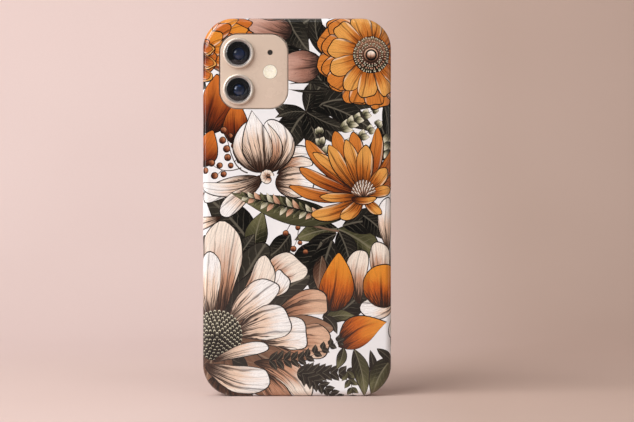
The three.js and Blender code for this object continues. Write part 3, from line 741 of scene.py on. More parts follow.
def striped_leaf():
    """The long striped leaf that crosses the case under the magnolia, and the open white below it."""
    blade((17.5, 70.0), (-26.0, 80.6), 11.0, OLIVE, LEAF, "leaf", 0.03)
    for i in range(13):
        share = 0.12 + 0.06 * i
        spot = np.array([16.5, 70.0]) * (1 - share) + np.array([-26.0, 80.4]) * share
        reach = 4.2 * math.sin(math.pi * share**0.9)
        for way in (1, -1):
            tip = spot + np.array([-3.0, 0.6 + way * reach])
            tints = (SAGE, OLIVE, TAN)[(i + (way > 0)) % 3]
            blade(spot, tip, 2.3, tints, LEAF, "leaf", 0.08 * way, 0, 0.14)
    stroke([(17.0, 69.8), (-4.0, 75.2), (-25.5, 80.2)], 0.5, CHARCOAL[0])


def right_side():
    """Pale petals and lit pods along the right edge."""
    for base, tip, width, tints, bow in [
        ((36.6, 57.0), (35.8, 79.0), 7.6, WHITE, 0.05),
        ((41.0, 56.0), (42.5, 82.0), 9.0, WHITE, -0.05),
        ((24.6, 36.5), (25.6, 58.4), 10.5, CREAM, 0.08),
        ((31.4, 42.0), (32.6, 61.4), 10.0, CREAM, -0.05),
        ((38.5, 40.0), (41.0, 62.0), 9.0, WHITE, -0.05),
        ((43.0, 41.0), (25.0, 34.0), 10.5, WHITE, 0.10),
        ((43.5, 38.0), (38.0, 23.0), 8.5, WHITE, 0.05),
    ]:
        blade(base, tip, width, tints, PETAL, "petal", bow, 0.02, 0.36)
    blade((34.6, 35.0), (34.0, 52.6), 16.5, FLAME, BULB, "round", 0.0)
    blade((13.6, 33.6), (16.8, 57.4), 14.2, FLAME, BULB, "drop", -0.04)
    blade((16.4, 19.6), (35.8, 29.6), 12.8, FLAME, BULB, "leaf", 0.10)
    blade((44.0, 28.0), (40.2, 44.0), 8.0, FLAME, BULB, "drop", 0.0)


def great_blossom():
    """The large open blossom at the lower left: white and tan petals in layers round a bed of seeds."""
    heart = np.array([-31.6, 24.0])
    for angle, length, width in [
        (98, 40, 12), (78, 36, 14), (62, 42, 14), (50, 36, 13), (33, 44, 12), (19, 40, 12),
        (4, 46, 12), (-12, 38, 12), (-28, 42, 12), (-48, 36, 12), (-70, 32, 13), (-92, 34, 13),
        (118, 34, 12), (140, 26, 12), (200, 24, 12), (230, 28, 12), (252, 32, 12),
    ]:
        a = math.radians(angle)
        tip = heart + length * np.array([math.cos(a), math.sin(a)])
        blade(heart, tip, width, CHARCOAL if angle % 4 else UMBER, LEAF, "round", 0.03)
    for base, tip, width, tints, bow, profile in [
        ((-31.5, 30.0), (-28.4, 69.0), 20.0, CREAM, 0.02, "petal"),
        ((-43.0, 54.0), (-43.2, 74.5), 11.0, TAN, 0.03, "petal"),
        ((-42.0, 30.0), (-43.5, 60.0), 13.0, CREAM, 0.05, "petal"),
        ((-14.0, 40.0), (2.2, 53.4), 17.0, CREAM, 0.12, "fan"),
        ((-14.0, 39.0), (-4.6, 48.8), 10.5, WHITE, -0.12, "fan"),
        ((-9.0, 31.5), (12.4, 37.4), 13.5, TAN, 0.10, "fan"),
        ((-9.0, 21.0), (13.2, 21.4), 17.5, TAN, 0.03, "fan"),
        ((-30.0, 9.0), (-35.5, -6.0), 15.0, UMBER, 0.0, "petal"),
        ((-26.0, 9.0), (-21.0, -8.0), 13.0, UMBER, 0.0, "petal"),
        ((-17.0, 13.6), (5.6, -2.6), 12.5, CREAM, 0.16, "petal"),
        ((-16.0, 10.6), (-4.0, -8.0), 12.0, TAN, 0.06, "petal"),
        ((-14.0, 21.5), (4.2, 25.2), 17.0, WHITE, 0.06, "fan"),
        ((-29.5, 30.0), (-11.0, 54.6), 13.0, CREAM, -0.12, "fan"),
        ((-34.0, 29.5), (-34.2, 57.0), 12.6, WHITE, 0.05, "petal"),
        ((-42.5, 16.0), (-46.0, -4.0), 13.0, WHITE, 0.05, "petal"),
        ((-28.0, 28.0), (-8.0, 45.0), 13.0, WHITE, 0.05, "petal"),
        ((-24.5, 24.5), (-2.2, 30.6), 16.5, WHITE, 0.05, "petal"),
    ]:
        blade(base, tip, width, tints, PETAL, profile, bow, 0.04, 0.36)
    disc(heart, 9.9, CHARCOAL, PLAIN, 0.3)
    for ring in range(8):
        radius = 9.5 - 1.26 * ring
        count = max(1, int(2 * math.pi * radius / 1.75))
        for i in range(count):
            a = 2 * math.pi * (i + 0.5 * (ring % 2)) / count
            out = np.array([math.cos(a), math.sin(a)])
            spot = heart + out * radius
            up = out * 0.22 + np.array([0.0, 0.80])
            blade(spot - up * 0.9, spot + up * 0.9, 1.3, SAGE, PLAIN, "strap", 0, 0, 0.08)
            blade(spot - up * 1.0, spot + up * 0.45, 0.72, CHARCOAL, PLAIN, "strap", 0, 0, 0.0)
    blade((-37.0, 12.6), (-10.4, 6.4), 13.4, WHITE, PETAL, "petal", -0.09, 0.04, 0.36)
    blade((-33.6, 13.6), (-10.8, 19.8), 6.4, WHITE, PETAL, "petal", 0.05, 0.02, 0.36)


def ferns_and_foot():
    """Black ferns and long green leaves along the foot."""
    spray([(-11.0, 14.2), (2.0, 14.8), (16.0, 21.6)], 10, 5.2, 2.5, CHARCOAL, 50.0)
    spray([(0.0, 9.0), (10.0, 9.4), (23.0, 9.0)], 9, 6.6, 3.0, CHARCOAL, 42.0)
    spray([(2.0, 9.0), (10.0, 4.0), (18.0, -2.0)], 8, 5.4, 2.6, CHARCOAL, 45.0)
    spray([(20.0, 10.0), (22.0, 2.0), (22.0, -8.0)], 6, 4.6, 2.4, OLIVE, 40.0)
    for base, tip, width, tints, bow in [
        ((18.6, 19.4), (15.6, 10.4), 4.2, OLIVE, 0.05),
        ((22.6, 18.8), (26.8, -1.0), 6.8, OLIVE, 0.05),
        ((29.0, 18.4), (30.6, 0.5), 3.6, CHARCOAL, 0.05),
        ((38.8, 16.0), (29.8, -1.6), 9.0, OLIVE, -0.10),
        ((31.6, 19.0), (40.0, 11.0), 3.6, CHARCOAL, 0.05),
        ((43.0, 20.0), (43.0, 6.0), 6.0, OLIVE, 0.0),
    ]:
        blade(base, tip, width, tints, LEAF, "leaf", bow)


def side_walls():
    """The dark leaves that fill the walls behind the petals."""
    for base, tip, width, tints in [
        ((46.0, 74.0), (41.5, 60.0), 6.0, CHARCOAL),
        ((38.5, 58.0), (45.5, 46.0), 6.5, OLIVE),
        ((46.5, 40.0), (40.5, 24.0), 7.5, CHARCOAL),
        ((38.0, 26.0), (45.5, 12.0), 7.0, UMBER),
        ((45.0, 16.0), (40.5, 2.0), 7.0, CHARCOAL),
        ((-46.0, 66.0), (-40.5, 54.0), 6.5, CHARCOAL),
        ((-45.5, 52.0), (-41.0, 38.0), 7.0, OLIVE),
        ((-46.0, 36.0), (-41.0, 22.0), 7.5, CHARCOAL),
        ((-45.5, 20.0), (-40.5, 6.0), 7.0, UMBER),
        ((-46.0, 95.0), (-40.0, 87.5), 5.0, CHARCOAL),
        ((-39.0, 82.0), (-46.0, 75.0), 5.5, CHARCOAL),
        ((-46.5, 12.0), (-42.5, -2.0), 6.5, CHARCOAL),
        ((46.5, 84.0), (41.0, 76.0), 5.5, OLIVE),
    ]:
        blade(base, tip, width, tints, LEAF, "leaf", 0.04)


def top_wall():
    """What runs on over the top edge."""
    blade((-24.0, 150.0), (-30.0, 158.0), 7.0, CHARCOAL, LEAF, "leaf", 0.0)
    blade((-12.0, 150.0), (-2.0, 157.5), 9.0, ROSE, BULB, "round", 0.0)
    blade((0.0, 149.0), (4.0, 160.5), 7.5, CHARCOAL, LEAF, "leaf", 0.0)
    blade((13.0, 150.0), (12.0, 160.0), 6.0, CHARCOAL, LEAF, "leaf", 0.0)
    blade((33.0, 150.0), (36.0, 158.0), 6.0, UMBER, LEAF, "leaf", 0.0)
    blade((20.0, 151.0), (18.0, 159.5), 6.5, ORANGE, PETAL, "petal", 0.0)
    blade((27.0, 150.0), (28.0, 159.5), 6.5, AMBER, PETAL, "petal", 0.0)
    blade((-20.0, 152.0), (-22.0, 160.0), 5.0, OLIVE, LEAF, "leaf", 0.0)
    blade((7.0, 151.0), (8.0, 160.0), 4.5, UMBER, LEAF, "leaf", 0.0)


foliage_behind()
side_walls()
top_wall()
wheat()
pods()
right_side()
poppy()
layered_bloom()
berry_sprays()
magnolia()
striped_leaf()
daisy()
great_blossom()
ferns_and_foot()


# ---------------------------------------------------------------- the moulded shell: its skin
# One closed skin: the printed outer face cut along every motif's outline, the rounded edges of the rim and
# the camera window, and the plain inner face. Each corner carries its motif's place and three colours, so the
# ink soaks to the motif's own edge and nowhere else.

GROUND = 5
RAW = 6
CORNER_STEP = 7.5
INNER_EASE = 0.25
UV_SPAN = 200.0


def roll_contours():
    """Lines round the sheet, from the edge of the flat back to the end of the rolled edge."""
    contours = []
    for past in np.arange(0, 7) * ROLL / 6:
        radius = FLAT_CORNER + past
        x, z = CORE + radius
        middle = HEIGHT / 2
        corners = [(x, middle - z), (x, middle + z), (-x, middle + z), (-x, middle - z)]
        contours.append(filleted([(cx, cz, radius) for cx, cz in corners], CORNER_STEP))
    return contours


def corner_rays():
    """Straight lines that fan out over each rounded corner of the sheet."""
    rays = []
    for side in (1, -1):
        for up in (1, -1):
            pivot = MIDDLE + CORE * (side, up)
            for i in range(13):
                a = math.radians(CORNER_STEP * i)
                ray = np.array([side * math.cos(a), up * math.sin(a)])
                start = pivot + ray * (FLAT_CORNER - 0.5)
                end = pivot + ray * (FLAT_CORNER + SHEET_EDGE)
                rays.append(np.array([start, end]))
    return rays


def printed_outlines():
    """Every line the outer face is cut along: the motifs and the lines that keep its curves smooth."""
    closed = [shape["outline"] for shape in shapes] + roll_contours()
    return [(line, True) for line in closed] + [(line, False) for line in corner_rays()]


def triangulated(lines, loose=()):
    """A triangle mesh of the plane in which every given line is made of edges."""
    points, edges = [], []
    for line, closed in lines:
        first = len(points)
        points.extend(Vector(p) for p in line)
        count = len(line)
        edges.extend((first + i, first + (i + 1) % count) for i in range(count if closed else count - 1))
    points.extend(Vector(p) for p in loose)
    verts, _, faces, _, _, _ = delaunay_2d_cdt(points, edges, [], 0, 1e-4, False)
    return np.array([tuple(v) for v in verts]), np.array(faces)


def boundary_loops(faces):
    """The mesh's open edges as loops of vertices, with the surface on their left."""
    directed = set()
    for a, b, c in faces.tolist():
        directed.update(((a, b), (b, c), (c, a)))
    ahead = {}
    for a, b in directed:
        if (b, a) not in directed:
            ahead[a] = b
    loops = []
    while ahead:
        start = min(ahead)
        loop, here = [start], ahead.pop(start)
        while here != start:
            loop.append(here)
            here = ahead.pop(here)
        loops.append(np.array(loop))
    return loops


def motif_corners(sheet, shape):
    """How far along and across its motif each point lies."""
    start, ahead, aside, length, half, bow = shape["place"]
    rel = sheet - start
    along = rel @ ahead / length
    held = np.clip(along, 0, 1)
    across = (rel @ aside - bow * length * 4 * held * (1 - held)) / half
    return along, across


def shell_skin():
    rim = shifted(rim_line, RIM_ROUND)
    window = shifted(window_line, -WINDOW_ROUND)
    sheet, faces = triangulated(printed_outlines() + [(rim, True), (window, True)])
    centre = sheet[faces].mean(axis=1)
    kept = inside(centre, rim) & ~inside(centre, window)
    faces, centre = faces[kept], centre[kept]
    used, faces = np.unique(faces, return_inverse=True)
    sheet, faces = sheet[used], faces.reshape(-1, 3)

    # Painter's order: a later motif covers an earlier one.
    owner = np.full(len(faces), -1)
    for i, shape in enumerate(shapes):
        low, high = shape["outline"].min(axis=0), shape["outline"].max(axis=0)
        near = np.flatnonzero((centre >= low).all(axis=1) & (centre <= high).all(axis=1))
        owner[near[inside(centre[near], shape["outline"])]] = i

    verts, normals = wrap(sheet)
    uv = sheet / UV_SPAN + (0.25, 0.06)
    all_verts, all_normals, all_uv = [verts], [normals], [uv]
    all_faces, all_kinds = [faces], [np.array([GROUND if o < 0 else shapes[o]["kind"] for o in owner])]
    total = len(verts)

    # The edge of each opening: rounded over outside, straight through the wall, eased inside.
    inner_lines = []
    edge_owner, edge_sheet = [], []
    owner_of = {}
    for (a, b, c), o in zip(faces.tolist(), owner.tolist()):
        owner_of[(a, b)] = owner_of[(b, c)] = owner_of[(c, a)] = o
    for loop in boundary_loops(faces):
        edge = sheet[loop]
        is_window = abs(edge[:, 0].mean() - WINDOW_X) < 3 and edge[:, 0].max() < 0
        radius = WINDOW_ROUND if is_window else RIM_ROUND
        out = -(shifted(edge, 1e-3) - edge) / 1e-3
        thick = wall_thickness(edge)
        ring_before = loop
        flat_before = edge
        rows = []
        for k in range(1, 5):
            a = math.radians(22.5 * k)
            reach = np.full(len(edge), radius * math.sin(a))
            depth = np.full(len(edge), radius * (1 - math.cos(a)))
            rows.append((reach, depth, a))
        for k in range(0, 4):
            a = math.radians(30 * k)
            reach = np.full(len(edge), radius - INNER_EASE * (1 - math.cos(a)))
            depth = thick - INNER_EASE + INNER_EASE * math.sin(a)
            rows.append((reach, depth, math.pi / 2 + a))
        step = np.linalg.norm(np.roll(edge, -1, axis=0) - edge, axis=1)
        walk = np.concatenate([[0], np.cumsum(step)])[:-1]
        flanks = np.array([owner_of[(int(a), int(b))] for a, b in zip(loop, np.roll(loop, -1))])
        for row, (reach, depth, lean) in enumerate(rows):
            flat = edge + out * reach[:, None]
            place, normal = wrap(flat, depth)
            ahead_place, _ = wrap(flat + out * 0.01, depth)
            outward = ahead_place - place
            outward /= np.linalg.norm(outward, axis=1)[:, None]
            all_verts.append(place)
            all_normals.append(normal * math.cos(lean) + outward * math.sin(lean))
            all_uv.append(np.column_stack([walk / 700.0, np.full(len(edge), 0.955 + 0.004 * row)]))
            ring = total + np.arange(len(loop))
            total += len(loop)
            a, b = ring_before, np.roll(ring_before, -1)
            c, d = np.roll(ring, -1), ring
            strip = np.vstack([np.column_stack([b, a, d]), np.column_stack([b, d, c])])
            all_faces.append(strip)
            spread = np.tile(flanks, 2)
            printed = row < 4
            kinds = [shapes[o]["kind"] if printed and o >= 0 else GROUND if printed else RAW for o in spread]
            all_kinds.append(np.array(kinds))
            if printed:
                both = np.vstack([flat_before, flat])
                local = {int(v): i for i, v in enumerate(np.concatenate([ring_before, ring]))}
                edge_owner.append(spread)
                edge_sheet.append(both[[local[int(v)] for v in strip.ravel()]])
            else:
                edge_owner.append(np.full(len(strip), -1))
                edge_sheet.append(np.zeros((strip.size, 2)))
            ring_before = ring
            flat_before = flat
        inner_lines.append((flat, ring))

    # The inner face: a coarse sheet between the same edges.
    loose = []
    for loop in roll_contours():
        for i in range(len(loop)):
            span = loop[(i + 1) % len(loop)] - loop[i]
            pieces = max(1, int(np.linalg.norm(span) / 6))
            loose.extend(loop[i] + span * k / pieces for k in range(pieces))
    loose = np.array(loose)
    bounds = [line for line, _ in inner_lines]
    outer_line = max(bounds, key=lambda line: np.ptp(line[:, 1]))
    window_edge = min(bounds, key=lambda line: np.ptp(line[:, 1]))
    fits = inside(loose, shifted(outer_line, 0.3)) & ~inside(loose, window_edge)
    points = np.vstack(bounds + [loose[fits]])
    ids = np.concatenate([ring for _, ring in inner_lines])
    edges = []
    first = 0
    for line, _ in inner_lines:
        edges.extend((first + i, first + (i + 1) % len(line)) for i in range(len(line)))
        first += len(line)
    got, _, tris, origins, _, _ = delaunay_2d_cdt([Vector(p) for p in points], edges, [], 0, 1e-6, True)
    got, tris = np.array([tuple(v) for v in got]), np.array(tris)
    middle = got[tris].mean(axis=1)
    tris = tris[inside(middle, outer_line) & ~inside(middle, window_edge)]
    place, normal = wrap(got, wall_thickness(got))
    links = np.empty(len(got), int)
    extra = []
    for i, origin in enumerate(origins):
        known = [o for o in origin if o < len(ids)]
        if known:
            links[i] = ids[known[0]]
        else:
            links[i] = total + len(extra)
            extra.append(i)
    all_verts.append(place[extra])
    all_normals.append(-normal[extra])
    all_uv.append(got[extra] / UV_SPAN + (0.75, 0.06))
    all_faces.append(links[tris][:, ::-1])
    all_kinds.append(np.full(len(tris), RAW))

    mesh = bpy.data.meshes.new("printed_shell")
    every_vert = np.vstack(all_verts)
    every_face = np.vstack(all_faces)
    mesh.from_pydata((every_vert * MM).tolist(), [], every_face.tolist())
    kinds = np.concatenate(all_kinds)
    mesh.polygons.foreach_set("material_index", kinds.astype(np.int32))

    # Outer corners carry their motif. The rest carry plain ground.
    corners = len(every_face) * 3
    motif = np.zeros((corners, 3), np.float32)
    tints = {name: np.ones((corners, 4), np.float32) for name in ("tint_root", "tint_body", "tint_tip")}
    corner_owner = np.repeat(np.concatenate([owner, *edge_owner]), 3)
    corner_sheet = np.vstack([sheet[faces].reshape(-1, 2), *edge_sheet])
    order = np.argsort(corner_owner, kind="stable")
    starts = np.searchsorted(corner_owner[order], np.arange(len(shapes) + 1))
    for i, shape in enumerate(shapes):
        mine = order[starts[i] : starts[i + 1]]
        if not len(mine):
            continue
        along, across = motif_corners(corner_sheet[mine], shape)
        motif[mine] = np.column_stack([along, across, np.full(len(mine), shape["seed"] * 0.137)])
        for name, tint in zip(tints, shape["tints"]):
            tints[name][mine, :3] = tint
    mesh.attributes.new("motif", "FLOAT_VECTOR", "CORNER").data.foreach_set("vector", motif.ravel())
    for name, values in tints.items():
        mesh.attributes.new(name, "FLOAT_COLOR", "CORNER").data.foreach_set("color", values.ravel())
    uv_all = np.vstack(all_uv)[every_face.ravel()]
    mesh.uv_layers.new(name="OFBake").data.foreach_set("uv", uv_all.ravel().astype(np.float32))
    mesh.shade_smooth()
    mesh.update()
    normals = np.vstack(all_normals)
    normals /= np.linalg.norm(normals, axis=1)[:, None]
    mesh.normals_split_custom_set_from_vertices(normals.tolist())
    return mesh


# ---------------------------------------------------------------- the print: its inks
# Opaque inkjet colour under a clear hard coat, on white plastic. The washes are granular and pool at a
# motif's edge. Pen strokes fan out of its root and veins branch from its midrib.


def motif_group():
    """What a motif's corners carry: how far along and across it a point lies, its seed and its colours."""
    outputs = {name: "Float" for name in ("Along", "Across", "Seed")}
    outputs.update({name: "Color" for name in ("Root", "Body", "Tip")})
    tree, t, _, out = group("motif", {}, outputs)
    place = t.add("ShaderNodeAttribute", attribute_name="motif").outputs["Vector"]
    parts = t.add("ShaderNodeSeparateXYZ", {"Vector": place}).outputs
    for name, part in (("Along", "X"), ("Across", "Y"), ("Seed", "Z")):
        t.feed(out.inputs[name], parts[part])
    for name in ("Root", "Body", "Tip"):
        tint = t.add("ShaderNodeAttribute", attribute_name="tint_" + name.lower())
        t.feed(out.inputs[name], tint.outputs["Color"])
    return tree


def wash_group():
    """A wash that runs from root to body to tip colour in streaks, pools at its edge and has a grain."""
    inputs = {name: ("Color", None) for name in ("Root", "Body", "Tip")}
    inputs.update({name: ("Float", 0.0) for name in ("Along", "Across", "Seed")})
    inputs["Root Reach"] = ("Float", 0.42)
    tree, t, given, out = group("watercolour wash", inputs, {"Color": "Color"})
    along, across, seed = given["Along"], given["Across"], given["Seed"]
    flow = t.vector(t.times(along, 2.2), t.plus(t.times(across, 1.6), t.times(seed, 7.0)), seed)
    streak_place = t.vector(t.times(along, 0.9), t.times(across, 5.5), seed)
    cloud = t.noise(flow, 1.3, 4.0)
    streak = t.noise(streak_place, 1.6, 3.0)
    drift = t.plus(t.times(t.minus(cloud, 0.5), 0.55), t.times(t.minus(streak, 0.5), 0.5))
    front = t.plus(along, drift)
    body = t.mix(t.ramp(front, 0.02, given["Root Reach"]), given["Root"], given["Body"])
    tipped = t.mix(t.ramp(front, 0.40, 0.88), body, given["Tip"])
    pool = t.ramp(t.plus(t.math("ABSOLUTE", across), t.times(t.minus(cloud, 0.5), 0.7)), 0.55, 1.0, 1.0, 0.68)
    place = t.object_place()
    grain = t.ramp(t.noise(place, 2.6, 5.0, 0.7), 0.3, 0.75, 0.90, 1.10)
    tone = t.times(pool, grain)
    scaled = t.add("ShaderNodeVectorMath", operation="SCALE")
    t.feed(scaled.inputs[0], tipped)
    t.feed(scaled.inputs["Scale"], tone)
    t.feed(out.inputs["Color"], scaled.outputs["Vector"])
    return tree


def stroke_group():
    """Pen lines that fan out from a motif's root, each with its own length, thinning to nothing."""
    inputs = {name: ("Float", 0.0) for name in ("Along", "Across", "Seed")}
    inputs.update(
        {"Count": ("Float", 6.0), "Reach": ("Float", 0.7), "Weight": ("Float", 0.3), "Fan": ("Float", 0.35)}
    )
    tree, t, given, out = group("pen strokes", inputs, {"Mask": "Float"})
    along, across, seed = given["Along"], given["Across"], given["Seed"]
    waver = t.times(t.minus(t.noise(t.vector(along, across, seed), 2.4, 2.0), 0.5), 0.35)
    spread = t.math("DIVIDE", t.plus(across, waver), t.plus(along, given["Fan"]))
    line = t.plus(t.times(spread, given["Count"]), t.times(seed, 3.7))
    own = t.add(
        "ShaderNodeTexWhiteNoise", {"W": t.math("FLOOR", line)}, noise_dimensions="1D"
    ).outputs["Value"]
    centred = t.math("ABSOLUTE", t.minus(t.math("FRACT", line), 0.5))
    reach = t.times(given["Reach"], t.plus(0.55, t.times(own, 0.75)))
    fade = t.minus(1.0, t.math("DIVIDE", along, reach), clamp=True)
    weight = t.times(given["Weight"], fade)
    mask = t.ramp(t.minus(weight, centred), -0.06, 0.06)
    t.feed(out.inputs["Mask"], t.times(mask, t.math("GREATER_THAN", along, 0.02)))
    return tree


def coat_group():
    """The hard coat over the print: fine orange peel, a few handling smudges and hairlines."""
    outputs = {"Roughness": "Float", "Normal": "Vector"}
    tree, t, given, out = group("hard coat", {"Roughness": ("Float", 0.3)}, outputs)
    place = t.object_place()
    smudge = t.ramp(t.noise(place, 0.035, 3.0), 0.5, 0.72)
    hair = t.add(
        "ShaderNodeMapping", {"Vector": place, "Rotation": (0.0, 0.5, 0.3), "Scale": (0.05, 0.05, 2.6)}
    ).outputs["Vector"]
    scratch = t.ramp(t.noise(hair, 1.0, 2.0), 0.66, 0.72)
    worn = t.plus(t.times(smudge, 0.09), t.times(scratch, 0.05))
    t.feed(out.inputs["Roughness"], t.plus(given["Roughness"], worn))
    t.feed(out.inputs["Normal"], t.bump(t.noise(place, 0.55, 3.0), 0.00005, 0.35))
    return tree


MOTIF = motif_group()
WASH = wash_group()
STROKES = stroke_group()
COAT = coat_group()
GLOSS = {"Coat_Weight": 1.0, "Coat_Roughness": 0.07, "Specular_IOR_Level": 0.06}


def finish_print(t, shader, color, roughness=0.22):
    coat = t.call(COAT, Roughness=roughness)
    t.feed(shader.inputs["Base Color"], color)
    t.feed(shader.inputs["Roughness"], coat["Roughness"])
    t.feed(shader.inputs["Normal"], coat["Normal"])


def washed(t, root_reach=0.44):
    """The motif's place and its wash colour."""
    motif = t.call(MOTIF)
    wash = t.call(
        WASH, Root=motif["Root"], Body=motif["Body"], Tip=motif["Tip"], Along=motif["Along"],
        Across=motif["Across"], Seed=motif["Seed"], Root_Reach=root_reach,
    )
    return motif, wash["Color"]


def petal_material():
    made, t, shader = material("print petal", **GLOSS)
    motif, color = washed(t)
    deep = t.mix(0.72, motif["Root"], (0.012, 0.007, 0.005))
    place = {"Along": motif["Along"], "Across": motif["Across"], "Seed": motif["Seed"]}
    crease = t.call(STROKES, Count=1.3, Reach=1.25, Weight=0.085, Fan=0.75, **place)["Mask"]
    long_strokes = t.call(STROKES, Count=2.6, Reach=0.66, Weight=0.26, Fan=0.42, **place)["Mask"]
    short_strokes = t.call(STROKES, Count=6.0, Reach=0.54, Weight=0.42, Fan=0.30, **place)["Mask"]
    from_tip = t.minus(1.02, motif["Along"])
    tip_strokes = t.call(
        STROKES, Along=from_tip, Across=motif["Across"], Seed=motif["Seed"], Count=4.2, Reach=0.30,
        Weight=0.2, Fan=0.42,
    )["Mask"]
    edge_light = t.ramp(t.math("ABSOLUTE", t.plus(motif["Across"], 0.74)), 0.03, 0.14, 1.0, 0.0)
    pale = t.mix(0.5, motif["Tip"], (0.95, 0.88, 0.74))
    color = t.mix(t.times(edge_light, t.ramp(motif["Along"], 0.15, 0.6, 0.0, 0.75)), color, pale)
    color = t.mix(t.times(long_strokes, 0.72), color, deep)
    color = t.mix(t.times(short_strokes, 0.95), color, deep)
    color = t.mix(t.times(tip_strokes, 0.18), color, deep)
    color = t.mix(t.times(crease, 0.85), color, deep)
    finish_print(t, shader, color)
    return made


def leaf_material():
    made, t, shader = material("print leaf", **GLOSS)
    motif, color = washed(t, 0.5)
    along, across, seed = motif["Along"], motif["Across"], motif["Seed"]
    away = t.math("ABSOLUTE", across)
    half = t.ramp(across, -0.12, 0.12, 0.0, 0.32)
    color = t.mix(half, color, motif["Tip"])
    waver = t.times(t.minus(t.noise(t.vector(along, across, seed), 3.0, 2.0), 0.5), 0.08)
    slant = t.plus(t.minus(along, t.times(away, 0.22)), waver)
    between = t.math("ABSOLUTE", t.minus(t.math("FRACT", t.times(slant, 9.0)), 0.5))
    vein = t.times(t.ramp(between, 0.03, 0.10, 1.0, 0.0), t.ramp(away, 0.15, 0.95, 1.0, 0.25))
    midrib = t.ramp(away, 0.03, 0.10, 1.0, 0.0)
    lines = t.math("MAXIMUM", t.times(vein, 0.5), midrib)
    pale = t.mix(0.4, motif["Tip"], (0.50, 0.45, 0.34))
    finish_print(t, shader, t.mix(t.times(lines, 0.48), color, pale))
    return made


def bulb_material():
    made, t, shader = material("print pod", **GLOSS)
    motif, color = washed(t, 0.55)
    along, across, seed = motif["Along"], motif["Across"], motif["Seed"]
    lit = t.times(
        t.ramp(t.math("ABSOLUTE", t.plus(across, 0.35)), 0.0, 0.5, 1.0, 0.0), t.ramp(along, 0.25, 0.7)
    )
    color = t.mix(t.times(lit, 0.45), color, motif["Tip"])
    dots = t.add("ShaderNodeTexVoronoi", {"Vector": t.object_place(), "Scale": 1.9}).outputs["Distance"]
    stipple = t.times(t.ramp(dots, 0.16, 0.26, 1.0, 0.0), t.ramp(along, 0.2, 0.75, 0.7, 0.0))
    deep = t.mix(0.6, motif["Root"], (0.012, 0.007, 0.005))
    strokes = t.call(
        STROKES, Along=along, Across=across, Seed=seed, Count=4.0, Reach=0.42, Weight=0.34, Fan=0.3
    )["Mask"]
    groove = t.times(
        t.ramp(t.math("ABSOLUTE", t.minus(across, 0.12)), 0.02, 0.09, 1.0, 0.0),
        t.ramp(along, 0.25, 0.95, 0.9, 0.0),
    )
    color = t.mix(t.math("MAXIMUM", t.math("MAXIMUM", stipple, groove), t.times(strokes, 0.8)), color, deep)
    finish_print(t, shader, color)
    return made


def detail_material():
    made, t, shader = material("print detail", **GLOSS)
    _, color = washed(t, 0.6)
    finish_print(t, shader, color)
    return made


def ink_material():
    made, t, shader = material("print ink", **GLOSS)
    motif = t.call(MOTIF)
    worn = t.noise(t.object_place(), 1.4, 4.0)
    finish_print(t, shader, t.mix(t.ramp(worn, 0.45, 0.8, 0.0, 0.22), motif["Body"], (0.08, 0.05, 0.035)))
    return made


def ground_material():
    made, t, shader = material("print ground", **GLOSS)
    place = t.object_place()
    cloud = t.noise(place, 0.06, 3.0)
    dust = t.ramp(t.noise(place, 1.2, 4.0, 0.7), 0.62, 0.8)
    white = t.mix(t.ramp(cloud, 0.35, 0.7), (0.80, 0.81, 0.83), (0.87, 0.87, 0.88))
    finish_print(t, shader, t.mix(t.times(dust, 0.10), white, (0.55, 0.48, 0.42)), 0.22)
    return made


def raw_material():
    """The unprinted inner face, as moulded: satin white with faint flow marks and rubbed spots."""
    made, t, shader = material(
        "raw white plastic", Subsurface_Weight=0.08, Subsurface_Radius=(0.001, 0.001, 0.001)
    )
    place = t.object_place()
    stretched = t.add("ShaderNodeMapping", {"Vector": place, "Scale": (0.09, 0.05, 0.012)})
    flow = t.noise(stretched.outputs["Vector"], 1.0, 4.0)
    rub = t.ramp(t.noise(place, 0.12, 5.0), 0.55, 0.75)
    white = t.mix(t.ramp(flow, 0.35, 0.65), (0.74, 0.735, 0.72), (0.82, 0.815, 0.80))
    t.feed(shader.inputs["Base Color"], t.mix(t.times(rub, 0.15), white, (0.62, 0.61, 0.59)))
    t.feed(shader.inputs["Roughness"], t.ramp(rub, 0.0, 1.0, 0.48, 0.36))
    t.feed(shader.inputs["Normal"], t.bump(t.noise(place, 1.8, 4.0), 0.00004, 0.5))
    return made


shell_mesh = shell_skin()
for make in (
    ink_material, petal_material, leaf_material, bulb_material, detail_material, ground_material, raw_material
):
    shell_mesh.materials.append(make())
shell = bpy.data.objects.new("printed_shell", shell_mesh)
scene.collection.objects.link(shell)
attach(shell, "case")
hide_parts("case_shell")


# ---------------------------------------------------------------- the handset: its metal frame
# A flat-sided frame milled from one aluminium bar, blasted and anodised in a pale champagne. Its outer edges
# are rounded over, a shallow bed on each face takes a glass, and short plastic bands part it into antennas.

frame_low, frame_high = node_box("phone_frame")
PHONE_HALF = frame_high[0]
PHONE_FOOT = frame_low[2]
PHONE_TOP = frame_high[2]
PHONE_BACK = frame_low[1]
PHONE_FACE = frame_high[1]
PHONE_MIDDLE = (PHONE_FOOT + PHONE_TOP) / 2
PHONE_CORNER = 10.6
GLASS_BED = 0.9
AXES = {"x": lambda a, b, at: (at, a, b), "y": lambda a, b, at: (a, at, b), "z": lambda a, b, at: (a, b, at)}


def rounded(half_a, half_b, radius, a=0.0, b=0.0, step=5.0):
    """A rounded rectangle's outline about (a, b)."""
    corners = [
        (a - half_a, b - half_b), (a + half_a, b - half_b), (a + half_a, b + half_b), (a - half_a, b + half_b)
    ]
    return filleted([(x, y, radius) for x, y in corners], step)


def circle(radius, a=0.0, b=0.0, count=64):
    turn = np.arange(count) * 2 * math.pi / count
    return np.column_stack([a + radius * np.cos(turn), b + radius * np.sin(turn)])


